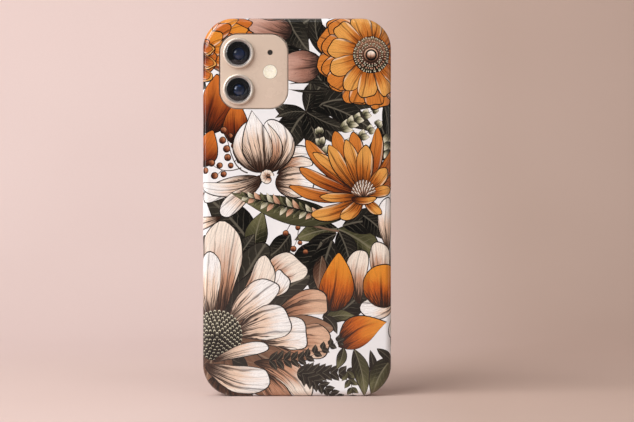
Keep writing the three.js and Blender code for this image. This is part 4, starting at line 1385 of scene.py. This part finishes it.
def phone_outline(inset, step=4.0):
    half = PHONE_HALF - inset
    tall = (PHONE_TOP - PHONE_FOOT) / 2 - inset
    return rounded(half, tall, max(PHONE_CORNER - inset, 1.0), 0.0, PHONE_MIDDLE, step)


def block(outline, axis, low, high, round_low=0.0, round_high=0.0, steps=6):
    """A closed outline made solid between two places on an axis, with its end edges rounded over."""
    rows = []
    for k in range(steps + 1 if round_low else 1):
        a = math.radians(90 * k / steps) if round_low else math.pi / 2
        rows.append((round_low * (1 - math.sin(a)), low + round_low * (1 - math.cos(a))))
    for k in range(steps + 1 if round_high else 1):
        a = math.radians(90 * k / steps) if round_high else 0.0
        at = high - round_high * (1 - math.sin(a)) if round_high else high
        rows.append((round_high * (1 - math.cos(a)), at))
    form = bmesh.new()
    rings = []
    for inset, at in rows:
        line = shifted(outline, inset) if inset else outline
        rings.append([form.verts.new(np.array(AXES[axis](a, b, at)) * MM) for a, b in line])
    count = len(outline)
    for under, over in zip(rings, rings[1:]):
        for i in range(count):
            j = (i + 1) % count
            form.faces.new((under[i], under[j], over[j], over[i]))
    form.faces.new(rings[0])
    form.faces.new(rings[-1])
    bmesh.ops.recalc_face_normals(form, faces=form.faces[:])
    mesh = bpy.data.meshes.new("block")
    form.to_mesh(mesh)
    form.free()
    return mesh


def joined(meshes):
    form = bmesh.new()
    for mesh in meshes:
        form.from_mesh(mesh)
        bpy.data.meshes.remove(mesh)
    mesh = bpy.data.meshes.new("joined")
    form.to_mesh(mesh)
    form.free()
    return mesh


def worked(mesh, tools, operation="DIFFERENCE"):
    """The mesh with each tool cut from it, or joined to it."""
    for tool in tools:
        body = bpy.data.objects.new("body", mesh)
        cutter = bpy.data.objects.new("cutter", tool)
        scene.collection.objects.link(body)
        scene.collection.objects.link(cutter)
        step = body.modifiers.new("step", "BOOLEAN")
        step.operation = operation
        step.object = cutter
        step.solver = "EXACT"
        made = bpy.data.meshes.new_from_object(body.evaluated_get(bpy.context.evaluated_depsgraph_get()))
        for done in (body, cutter):
            data = done.data
            bpy.data.objects.remove(done)
            bpy.data.meshes.remove(data)
        mesh = made
    return mesh


def show(name, mesh, finish, body, nodes, sharp=32.0):
    """Puts a finished piece in the scene in place of the CAD nodes it stands for."""
    mesh.name = name
    mesh.materials.clear()
    mesh.materials.append(finish)
    mesh.shade_smooth()
    mesh.set_sharp_from_angle(angle=math.radians(sharp))
    made = bpy.data.objects.new(name, mesh)
    scene.collection.objects.link(made)
    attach(made, body)
    for node in nodes:
        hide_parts(node)
    return made


def blasted_group():
    """Fine bead-blast texture under an anodised skin, with slow drift in tone."""
    inputs = {"Color": ("Color", None), "Roughness": ("Float", 0.35)}
    tree, t, given, out = group(
        "blasted anodising", inputs, {"Color": "Color", "Roughness": "Float", "Normal": "Vector"}
    )
    place = t.object_place()
    drift = t.noise(place, 0.08, 3.0)
    bead = t.noise(place, 14.0, 2.0, 0.6)
    rub = t.ramp(t.noise(place, 0.25, 5.0), 0.55, 0.8)
    toned = t.mix(t.ramp(drift, 0.3, 0.7, 0.0, 0.12), given["Color"], (0.42, 0.34, 0.27))
    t.feed(out.inputs["Color"], t.mix(t.times(rub, 0.12), toned, (0.90, 0.84, 0.76)))
    t.feed(out.inputs["Roughness"], t.plus(given["Roughness"], t.times(rub, -0.07)))
    t.feed(out.inputs["Normal"], t.bump(bead, 0.000004, 0.4))
    return tree


BLASTED = blasted_group()


ANTENNA_BAND = 13.2


def anodised_material():
    """The anodised skin, with the plastic bands that cross the frame's sides near its ends."""
    made, t, shader = material("champagne anodising", Metallic=0.9)
    skin = t.call(BLASTED, Color=(0.66, 0.555, 0.455), Roughness=0.36)
    parts = t.add("ShaderNodeSeparateXYZ", {"Vector": t.object_place()}).outputs
    bands = None
    for part, at in (("Z", PHONE_FOOT + ANTENNA_BAND), ("Z", PHONE_TOP - ANTENNA_BAND)):
        near = t.ramp(t.math("ABSOLUTE", t.minus(parts[part], at)), 0.42, 0.47, 1.0, 0.0)
        bands = near if bands is None else t.math("MAXIMUM", bands, near)
    wide = t.math("GREATER_THAN", t.math("ABSOLUTE", parts["X"]), PHONE_HALF - 2.2)
    bands = t.times(bands, wide)
    t.feed(shader.inputs["Base Color"], t.mix(bands, skin["Color"], (0.55, 0.47, 0.40)))
    t.feed(shader.inputs["Metallic"], t.minus(0.9, t.times(bands, 0.9)))
    t.feed(shader.inputs["Roughness"], t.plus(skin["Roughness"], t.times(bands, 0.12)))
    t.feed(shader.inputs["Normal"], skin["Normal"])
    return made


ANODISED = anodised_material()
BUTTON_Y = PHONE_BACK + 3.4
PORT_Y = PHONE_BACK + 3.2
BUTTON_HALF = 1.45
PUSH_BUTTONS = (("side_button", -1), ("volume_up_button", 1), ("volume_down_button", 1))
STEM_PLACE = 0.56
SLOT_GAP = 0.15
TRAY_WALL = 3.0
TRAY_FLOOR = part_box("battery")[1].y / MM + 0.1


def frame_mesh():
    body = block(phone_outline(0), "y", PHONE_BACK, PHONE_FACE, 0.7, 0.7, 7)
    tools = [
        block(phone_outline(GLASS_BED), "y", PHONE_BACK - 2, PHONE_BACK + GLASS_BED),
        block(phone_outline(GLASS_BED), "y", PHONE_FACE - GLASS_BED, PHONE_FACE + 2),
        block(phone_outline(TRAY_WALL), "y", PHONE_BACK, TRAY_FLOOR),
        block(phone_outline(TRAY_WALL), "y", TRAY_FLOOR + 0.6, PHONE_FACE),
    ]
    for node, side in PUSH_BUTTONS:
        low, high = node_box(node)
        middle, half = (low[2] + high[2]) / 2, (high[2] - low[2]) / 2
        edge = side * PHONE_HALF
        span = sorted((edge - side * 1.8, edge + side * 2))
        wide, tall = BUTTON_HALF + SLOT_GAP, half + SLOT_GAP
        tools.append(block(rounded(wide, tall, wide - 0.001, BUTTON_Y, middle), "x", *span))
        for way in (-1, 1):
            reach = sorted((edge - side * 3.4, edge - side * 1.5))
            tools.append(block(circle(0.65, BUTTON_Y, middle + way * STEM_PLACE * half, 24), "x", *reach))
    low, high = node_box("ring_switch")
    middle, half = (low[2] + high[2]) / 2, (high[2] - low[2]) / 2
    lever_slot = rounded(1.4, half + SLOT_GAP, 0.65, BUTTON_Y, middle)
    tools.append(block(lever_slot, "x", PHONE_HALF - 1.4, PHONE_HALF + 2))
    tools.append(block(rounded(4.5, 1.5, 1.45, 0, PORT_Y), "z", PHONE_FOOT - 2, PHONE_FOOT + 4))
    for side in (-1, 1):
        tools.append(block(circle(0.85, side * 6.9, PORT_Y, 32), "z", PHONE_FOOT - 2, PHONE_FOOT + 2.1))
        for i in range(5):
            hole = circle(0.7, side * (10.4 + 2.2 * i), PORT_Y, 32)
            tools.append(block(hole, "z", PHONE_FOOT - 2, PHONE_FOOT + 4))
    return worked(body, tools)


show("frame", frame_mesh(), ANODISED, "handset", ["phone_frame"])


# ---------------------------------------------------------------- the handset: buttons and ring switch
# Machined aluminium pills, anodised with the frame. Each push button has two stems that reach through the
# wall to its switch. The ring switch is a short lever with three grip grooves across its face.


def push_button(node, side):
    low, high = node_box(node)
    middle, half = (low[2] + high[2]) / 2, (high[2] - low[2]) / 2
    outer = side * (PHONE_HALF + 0.4)
    inner = side * (PHONE_HALF - 1.4)
    outline = rounded(BUTTON_HALF, half, BUTTON_HALF - 0.001, BUTTON_Y, middle)
    rounds = (0.15, 0.42) if side > 0 else (0.42, 0.15)
    cap = block(outline, "x", min(inner, outer), max(inner, outer), *rounds)
    tip = side * (PHONE_HALF - 3.6)
    stems = []
    for way in (-1, 1):
        spot = circle(0.5, BUTTON_Y, middle + way * STEM_PLACE * half, 24)
        stems.append(
            block(spot, "x", min(tip, inner + side * 0.3), max(tip, inner + side * 0.3), 0.1, 0.1, 3)
        )
    return joined([cap, *stems])


for node, side in PUSH_BUTTONS:
    show(node + "_cap", push_button(node, side), ANODISED, node, [node])

switch_low, switch_high = node_box("ring_switch")
switch_middle = (switch_low + switch_high) / 2
lever = block(
    rounded(*((switch_high - switch_low)[1:] / 2), 0.5, switch_middle[1], switch_middle[2]),
    "x", switch_low[0], switch_high[0], 0.15, 0.3,
)
grips = []
for i in (-1, 0, 1):
    groove = rounded(0.45, 0.11, 0.1, switch_middle[1], switch_middle[2] + 0.8 * i)
    grips.append(block(groove, "x", switch_high[0] - 0.12, switch_high[0] + 1))
show("ring_lever", worked(lever, grips), ANODISED, "ring_switch", ["ring_switch"])


# ---------------------------------------------------------------- the handset: back glass and camera plateau
# One slab of tinted glass, pinkish beige, glued into the frame's back bed. The camera plateau is ground from
# the same slab with a rounded edge, and is bored for the lens rings, the flash and the microphone.

plateau_low_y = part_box("back_glass")[0].y / MM


def face_centre(node):
    """The middle of a node's box in millimetres, as it is seen from behind: across and up."""
    low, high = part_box(node)
    return (low.x + high.x) / 2 / MM, (low.z + high.z) / 2 / MM


LENS = {where: face_centre("lens_ring_" + where) for where in ("upper", "lower")}
FLASH = face_centre("flash_lens")
MIC = face_centre("rear_mic_mesh")


def tinted_glass_material():
    made, t, shader = material(
        "tinted back glass", Specular_IOR_Level=0.55, Coat_Weight=0.6, Coat_Roughness=0.04
    )
    place = t.object_place()
    depth = t.noise(place, 0.05, 3.0)
    smudge = t.ramp(t.noise(place, 0.16, 5.0), 0.5, 0.75)
    # Painted highlights: fine pale specks in the colour stand in for light sparkling on the satin glass.
    painted_sparkle = t.ramp(t.noise(place, 9.0, 2.0), 0.62, 0.75)
    body = t.mix(t.ramp(depth, 0.3, 0.7), (0.615, 0.495, 0.400), (0.655, 0.530, 0.430))
    t.feed(shader.inputs["Base Color"], t.mix(t.times(painted_sparkle, 0.10), body, (0.92, 0.82, 0.74)))
    t.feed(shader.inputs["Roughness"], t.plus(0.26, t.times(smudge, 0.10)))
    t.feed(shader.inputs["Normal"], t.bump(smudge, 0.000004, 0.3))
    return made


def back_glass_mesh():
    plate = block(phone_outline(1.0), "y", PHONE_BACK + 0.001, PHONE_BACK + 0.8, 0.12, 0.0, 3)
    raised = block(
        rounded(13.4, 14.7, 7.0, WINDOW_X, WINDOW_Z, 4.0), "y", plateau_low_y, PHONE_BACK + 0.8, 0.5, 0.0, 7
    )
    slab = worked(plate, [raised], "UNION")
    bores = [block(circle(5.8, *LENS[where], 96), "y", -8, 2) for where in LENS]
    bores += [block(circle(2.85, *FLASH, 64), "y", -8, 2), block(circle(1.05, *MIC, 40), "y", -8, 2)]
    return worked(slab, bores)


TINTED = tinted_glass_material()
show("back_slab", back_glass_mesh(), TINTED, "handset", ["back_glass"])


# ---------------------------------------------------------------- the handset: cameras, flash and microphone
# Each camera is a turned metal ring with a bevelled crown, a flat sapphire-like cover seated in it, and a
# black stepped barrel behind with a coated front element. The flash is a ribbed diffuser over an emitter.


def turned(profile, x, z, segments=96):
    """A closed profile of (radius, y) points turned about the camera's own axis."""
    form = bmesh.new()
    rings = []
    for radius, y in profile:
        if radius < 1e-6:
            rings.append([form.verts.new((x * MM, y * MM, z * MM))])
            continue
        line = circle(radius, x, z, segments)
        rings.append([form.verts.new((a * MM, y * MM, b * MM)) for a, b in line])
    closed = len(rings[0]) > 1
    pairs = list(zip(rings, rings[1:])) + ([(rings[-1], rings[0])] if closed else [])
    for one, two in pairs:
        for i in range(segments):
            j = (i + 1) % segments
            if len(one) == 1:
                form.faces.new((one[0], two[j], two[i]))
            elif len(two) == 1:
                form.faces.new((one[i], one[j], two[0]))
            else:
                form.faces.new((one[i], one[j], two[j], two[i]))
    bmesh.ops.recalc_face_normals(form, faces=form.faces[:])
    mesh = bpy.data.meshes.new("turned")
    form.to_mesh(mesh)
    form.free()
    return mesh


def ring_material():
    made, t, shader = material("turned lens ring", Metallic=0.8)
    skin = t.call(BLASTED, Color=(0.86, 0.78, 0.69), Roughness=0.34)
    for name in ("Base Color", "Roughness", "Normal"):
        t.feed(shader.inputs[name], skin[{"Base Color": "Color"}.get(name, name)])
    return made


def cover_material():
    """A clear cover with the faint blue-violet bloom of its coating, and a little dust."""
    made, t, shader = material("lens cover", IOR=1.5)
    place = t.object_place()
    dust = t.ramp(t.noise(place, 3.0, 4.0, 0.7), 0.68, 0.8)
    facing = t.add("ShaderNodeLayerWeight", {"Blend": 0.35}).outputs["Facing"]
    bloom = t.mix(t.ramp(facing, 0.2, 0.9), (0.92, 0.95, 1.0), (0.78, 0.72, 1.0))
    t.feed(shader.inputs["Base Color"], bloom)
    t.feed(shader.inputs["Transmission Weight"], t.minus(1.0, t.times(dust, 0.12)))
    t.feed(shader.inputs["Roughness"], t.plus(0.01, t.times(dust, 0.2)))
    return made


def black_plastic_material():
    made, t, shader = material("black plastic", Specular_IOR_Level=0.18)
    place = t.object_place()
    grain = t.noise(place, 3.5, 4.0)
    tone = t.mix(t.ramp(grain, 0.35, 0.7), (0.002, 0.002, 0.003), (0.007, 0.007, 0.009))
    t.feed(shader.inputs["Base Color"], tone)
    t.feed(shader.inputs["Roughness"], t.ramp(grain, 0.3, 0.7, 0.36, 0.52))
    t.feed(shader.inputs["Normal"], t.bump(grain, 0.00002, 0.4))
    return made


def element_material():
    """Coated lens glass over darkness: deep blue at the middle, teal and magenta towards its rim."""
    made, t, shader = material(
        "coated element", Roughness=0.03, IOR=1.6, Coat_Weight=1.0, Coat_Roughness=0.02
    )
    facing = t.add("ShaderNodeLayerWeight", {"Blend": 0.5}).outputs["Facing"]
    swirl = t.noise(t.object_place(), 0.9, 2.0)
    turn = t.plus(facing, t.times(t.minus(swirl, 0.5), 0.25))
    inner = t.mix(t.ramp(turn, 0.0, 0.35), (0.014, 0.036, 0.115), (0.009, 0.03, 0.10))
    t.feed(shader.inputs["Base Color"], t.mix(t.ramp(turn, 0.35, 0.8), inner, (0.10, 0.03, 0.16)))
    return made


RING = ring_material()
COVER = cover_material()
BLACK = black_plastic_material()
ELEMENT = element_material()

for where, (x, z) in LENS.items():
    low, high = node_box("lens_ring_" + where)
    front, back = low[1], high[1]
    crown = [(5.2, front + 0.22), (5.23, front + 0.09), (5.34, front), (5.62, front)]
    for a in (0.3, 0.6, 0.9, 1.2, math.pi / 2):
        crown.append((6.0 - 0.34 + 0.34 * math.sin(a), front + 0.34 * (1 - math.cos(a))))
    crown += [(6.0, plateau_low_y - 0.05), (5.7, plateau_low_y - 0.05), (5.7, back), (4.6, back)]
    crown += [(4.6, front + 1.05), (5.2, front + 1.05)]
    show("ring_" + where, turned(crown, x, z), RING, "handset", ["lens_ring_" + where])

    low, high = node_box("lens_cover_" + where)
    pane = [(0, low[1]), (4.95, low[1]), (5.06, low[1] + 0.04), (5.1, low[1] + 0.14)]
    pane += [(5.1, high[1]), (0, high[1])]
    show("cover_" + where, turned(pane, x, z), COVER, "handset", ["lens_cover_" + where])

    low, high = node_box("camera_barrel_" + where)
    front = low[1]
    bore = [(0, high[1]), (5.4, high[1]), (5.5, high[1] - 0.1), (5.5, -1.8), (4.4, -1.8)]
    steps = [
        (4.4, 0.08), (4.32, 0.0), (3.95, 0.0), (3.9, 0.06), (3.72, 0.3), (3.72, 0.45),
        (3.45, 0.62), (3.45, 0.8), (3.1, 1.0), (3.1, 1.2), (2.8, 1.4), (2.5, 1.56),
    ]
    bore += [(radius, front + deep) for radius, deep in steps]
    bore += [(2.5, -0.4), (0, -0.4)]
    show("barrel_" + where, turned(bore, x, z), BLACK, "handset", ["camera_barrel_" + where])

    low, high = node_box("lens_element_" + where)
    dome = [(0, low[1])]
    for k in range(1, 13):
        a = math.radians(7.5 * k)
        dome.append((2.4 * math.sin(a), low[1] + 0.9 * (1 - math.cos(a))))
    dome += [(2.4, high[1]), (0, high[1])]
    show("element_" + where, turned(dome, x, z), ELEMENT, "handset", ["lens_element_" + where])


def flash_material():
    made, t, shader = material(
        "flash diffuser", Subsurface_Weight=0.25, Subsurface_Radius=(0.001, 0.001, 0.0006)
    )
    place = t.object_place()
    mottle = t.noise(place, 1.6, 4.0)
    tone = t.mix(t.ramp(mottle, 0.35, 0.7), (0.86, 0.83, 0.70), (0.92, 0.90, 0.80))
    t.feed(shader.inputs["Base Color"], tone)
    t.feed(shader.inputs["Roughness"], t.ramp(mottle, 0.3, 0.7, 0.22, 0.34))
    return made


low, high = node_box("flash_lens")
ribs = [(0, low[1] + 0.05)]
for k in range(9):
    middle = 0.35 + 0.24 * k
    ribs += [(middle - 0.06, low[1] + 0.03), (middle, low[1] + 0.0), (middle + 0.12, low[1] + 0.10)]
ribs += [(2.5, low[1] + 0.01), (2.62, low[1]), (2.72, low[1] + 0.05), (2.75, low[1] + 0.16)]
ribs += [(2.75, high[1]), (0, high[1])]
show("flash_diffuser", turned(ribs, *FLASH), flash_material(), "handset", ["flash_lens"], 60)


def mesh_group():
    """A woven or etched acoustic mesh: rows of small holes, given as a mask."""
    tree, t, given, out = group(
        "acoustic holes", {"Vector": ("Vector", None), "Scale": ("Float", 3.0)}, {"Mask": "Float"}
    )
    cells = t.add(
        "ShaderNodeTexVoronoi", {"Vector": given["Vector"], "Scale": given["Scale"], "Randomness": 0.0}
    )
    t.feed(out.inputs["Mask"], t.ramp(cells.outputs["Distance"], 0.24, 0.32, 1.0, 0.0))
    return tree


HOLES = mesh_group()


def acoustic_material():
    made, t, shader = material("acoustic mesh", Metallic=0.6)
    place = t.object_place()
    holes = t.call(HOLES, Vector=place, Scale=3.4)["Mask"]
    tone = t.noise(place, 2.0, 3.0)
    metal = t.mix(t.ramp(tone, 0.3, 0.7), (0.050, 0.045, 0.042), (0.085, 0.076, 0.070))
    # Painted shade: the holes are painted near-black for the dark seen down them.
    t.feed(shader.inputs["Base Color"], t.mix(holes, metal, (0.004, 0.004, 0.004)))
    t.feed(shader.inputs["Roughness"], t.plus(0.42, t.times(holes, 0.3)))
    t.feed(shader.inputs["Normal"], t.bump(t.minus(1.0, holes), 0.00008, 0.8))
    return made


ACOUSTIC = acoustic_material()
low, high = node_box("rear_mic_mesh")
disc_profile = [(0, low[1] + 0.03), (0.8, low[1]), (0.9, low[1] + 0.02), (0.95, low[1] + 0.09)]
disc_profile += [(0.95, high[1]), (0, high[1])]
show("mic_disc", turned(disc_profile, *MIC, 48), ACOUSTIC, "handset", ["rear_mic_mesh"])


# ---------------------------------------------------------------- the handset: the screen
# A sheet of cover glass with a black printed border, flush with the frame. The display under it shows as a
# very dark field a little off the border's black. The earpiece mesh and the front camera sit in the border.


BORDER = 4.2
SCREEN_CORNER = 7.2


def screen_material():
    """Near-black glass, with the display's field a shade lighter inside its rounded border."""
    made, t, shader = material("screen glass", IOR=1.52, Coat_Weight=1.0, Coat_Roughness=0.015)
    place = t.object_place()
    parts = t.add("ShaderNodeSeparateXYZ", {"Vector": place}).outputs
    aside = t.math("ABSOLUTE", parts["X"])
    over_x = t.math("MAXIMUM", t.minus(aside, PHONE_HALF - BORDER - SCREEN_CORNER), 0.0)
    tall = (PHONE_TOP - PHONE_FOOT) / 2
    rise = t.math("ABSOLUTE", t.minus(parts["Z"], PHONE_MIDDLE))
    over_z = t.math("MAXIMUM", t.minus(rise, tall - BORDER - SCREEN_CORNER), 0.0)
    reach = t.math("SQRT", t.plus(t.times(over_x, over_x), t.times(over_z, over_z)))
    lit_area = t.ramp(reach, SCREEN_CORNER - 0.1, SCREEN_CORNER + 0.1, 1.0, 0.0)
    cells = t.noise(place, 12.0, 2.0)
    smudge = t.ramp(t.noise(place, 0.07, 5.0), 0.5, 0.72)
    field = t.mix(t.ramp(cells, 0.4, 0.6), (0.010, 0.011, 0.014), (0.014, 0.015, 0.019))
    t.feed(shader.inputs["Base Color"], t.mix(lit_area, (0.003, 0.003, 0.0035), field))
    t.feed(shader.inputs["Roughness"], t.plus(0.05, t.times(smudge, 0.10)))
    return made


def front_glass_mesh():
    low, high = node_box("front_glass")
    sheet = block(phone_outline(1.0), "y", low[1], high[1], 0.0, 0.2, 5)
    ear_low, ear_high = node_box("earpiece_mesh")
    eye_low, eye_high = node_box("front_camera_lens")
    ear_half = (ear_high - ear_low) / 2 + 0.1
    ear_z = (ear_low[2] + ear_high[2]) / 2
    slot = block(rounded(ear_half[0], ear_half[2], ear_half[2] - 0.001, 0, ear_z), "y", 0, 9)
    eye = block(circle(1.7, 0, (eye_low[2] + eye_high[2]) / 2), "y", 0, 9)
    return worked(sheet, [slot, eye])


show("screen_sheet", front_glass_mesh(), screen_material(), "handset", ["front_glass"])

low, high = node_box("earpiece_mesh")
half = (high - low) / 2
grille_outline = rounded(half[0], half[2], half[2] - 0.001, 0, (low[2] + high[2]) / 2)
grille = block(grille_outline, "y", low[1], high[1], 0, 0.08, 3)
show("earpiece_grille", grille, ACOUSTIC, "handset", ["earpiece_mesh"])

low, high = node_box("front_camera_lens")
eye_z = (low[2] + high[2]) / 2


def eye_material():
    """A small coated lens in a black ring."""
    made, t, shader = material("front camera", IOR=1.6, Coat_Weight=1.0, Coat_Roughness=0.02)
    place = t.object_place()
    parts = t.add("ShaderNodeSeparateXYZ", {"Vector": place}).outputs
    rise = t.minus(parts["Z"], eye_z)
    reach = t.math("SQRT", t.plus(t.times(parts["X"], parts["X"]), t.times(rise, rise)))
    grain = t.noise(place, 5.0, 3.0)
    inner = t.mix(t.ramp(reach, 0.2, 0.8), (0.02, 0.04, 0.13), (0.012, 0.008, 0.03))
    outer = t.mix(t.ramp(grain, 0.3, 0.7), (0.003, 0.003, 0.004), (0.008, 0.008, 0.009))
    t.feed(shader.inputs["Base Color"], t.mix(t.ramp(reach, 0.78, 0.86), inner, outer))
    t.feed(shader.inputs["Roughness"], t.ramp(reach, 0.78, 0.86, 0.03, 0.35))
    return made


eye = [(0, high[1] - 0.05), (0.5, high[1] - 0.055), (0.8, high[1] - 0.09), (0.85, high[1] - 0.2)]
eye += [(1.2, high[1] - 0.2), (1.28, high[1] - 0.02), (1.36, high[1]), (1.52, high[1])]
eye += [(1.6, high[1] - 0.08), (1.6, low[1]), (0, low[1])]
show("front_eye", turned(eye, 0, eye_z, 64), eye_material(), "handset", ["front_camera_lens"])


# ---------------------------------------------------------------- the handset: the foot
# The charging socket is a drawn steel shell round a contact tongue, with a slotted screw on either side and a
# row of drilled speaker holes beyond each. The holes are backed by a strip of mesh.


def steel_material():
    made, t, shader = material("brushed steel", Metallic=1.0)
    place = t.object_place()
    stretched = t.add("ShaderNodeMapping", {"Vector": place, "Scale": (6.0, 6.0, 0.4)}).outputs["Vector"]
    brush = t.noise(stretched, 1.0, 4.0)
    tone = t.mix(t.ramp(brush, 0.3, 0.7), (0.44, 0.43, 0.42), (0.58, 0.57, 0.555))
    t.feed(shader.inputs["Base Color"], tone)
    t.feed(shader.inputs["Roughness"], t.ramp(brush, 0.3, 0.7, 0.24, 0.38))
    t.feed(shader.inputs["Normal"], t.bump(brush, 0.00001, 0.4))
    return made


STEEL = steel_material()


def socket_mesh():
    low, high = node_box("charge_port")
    half = (high - low) / 2
    shell_block = block(rounded(half[0], half[1], 1.35, 0, PORT_Y), "z", low[2], high[2], 0.1, 0.1, 3)
    bore = block(rounded(half[0] - 0.3, half[1] - 0.3, 1.09, 0, PORT_Y), "z", low[2] - 1, high[2] - 0.3)
    return worked(shell_block, [bore])


def tongue_mesh():
    low, high = node_box("port_tongue")
    half = (high - low) / 2
    slab = block(rounded(half[0], half[1], 0.2, 0, PORT_Y), "z", low[2], high[2], 0.12, 0, 3)
    pads = []
    for face in (-1, 1):
        for i in range(12):
            at = -2.6 + i * 5.2 / 11
            edge = PORT_Y + face * half[1]
            pads.append(block(rounded(0.11, 0.03, 0.01, at, edge), "z", low[2] + 0.45, high[2] - 0.8))
    return worked(slab, pads)


def screw_mesh(node):
    low, high = node_box(node)
    x, y = (low[0] + high[0]) / 2, (low[1] + high[1]) / 2
    body = block(circle(0.75, x, y, 48), "z", low[2], high[2], 0.14, 0, 4)
    slots = [block(rounded(0.15, 0.55, 0.05, x, y), "z", low[2] - 1, low[2] + 0.35)]
    slots.append(block(rounded(0.55, 0.15, 0.05, x, y), "z", low[2] - 1, low[2] + 0.35))
    return worked(body, slots)


show("port_shell", socket_mesh(), STEEL, "handset", ["charge_port"])
show("contact_tongue", tongue_mesh(), BLACK, "handset", ["port_tongue"])
for side in ("left", "right"):
    node = "bottom_screw_" + side
    show("foot_screw_" + side, screw_mesh(node), STEEL, "handset", [node])


# ---------------------------------------------------------------- the handset: what its glasses close in
# The battery in its printed wrap, the circuit board under a drawn steel can, the speaker and haptic units,
# the display and the flash's emitter, all out of sight. They keep their plain forms, with eased edges.


def battery_material():
    made, t, shader = material("battery wrap", Coat_Weight=0.2)
    place = t.object_place()
    crease = t.noise(place, 0.25, 5.0)
    tone = t.mix(t.ramp(crease, 0.35, 0.7), (0.016, 0.016, 0.018), (0.040, 0.040, 0.044))
    t.feed(shader.inputs["Base Color"], tone)
    t.feed(shader.inputs["Roughness"], t.ramp(crease, 0.3, 0.7, 0.3, 0.5))
    t.feed(shader.inputs["Normal"], t.bump(crease, 0.0001, 0.4))
    return made


def board_material():
    made, t, shader = material("circuit board", Roughness=0.42)
    place = t.object_place()
    cells = t.add("ShaderNodeTexVoronoi", {"Vector": place, "Scale": 0.45}, distance="CHEBYCHEV")
    tracks = t.ramp(cells.outputs["Distance"], 0.42, 0.48)
    weave = t.noise(place, 5.0, 2.0)
    base = t.mix(t.ramp(weave, 0.3, 0.7), (0.010, 0.040, 0.022), (0.018, 0.060, 0.034))
    t.feed(shader.inputs["Base Color"], t.mix(tracks, base, (0.05, 0.14, 0.07)))
    t.feed(shader.inputs["Normal"], t.bump(tracks, 0.00003, 0.5))
    return made


def emitter_material():
    made, t, shader = material("flash emitter", Roughness=0.5)
    place = t.object_place()
    grain = t.noise(place, 6.0, 4.0)
    tone = t.mix(t.ramp(grain, 0.3, 0.7), (0.75, 0.52, 0.06), (0.88, 0.68, 0.16))
    t.feed(shader.inputs["Base Color"], tone)
    t.feed(shader.inputs["Normal"], t.bump(grain, 0.00002, 0.5))
    return made


EMITTER = emitter_material()
BATTERY = battery_material()
BOARD = board_material()
kept = {
    "battery": BATTERY,
    "logic_board": BOARD,
    "board_shield": STEEL,
    "haptic_motor": STEEL,
    "speaker_unit": BLACK,
    "display_panel": BLACK,
    "flash_led": EMITTER,
    "speaker_mesh_left": ACOUSTIC,
    "speaker_mesh_right": ACOUSTIC,
}
for node, finish in kept.items():
    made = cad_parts[node]
    made.data.materials.clear()
    made.data.materials.append(finish)
    ease = made.modifiers.new("eased edges", "BEVEL")
    ease.width = 0.0001
    ease.segments = 2
    ease.limit_method = "ANGLE"
    ease.angle_limit = math.radians(40)
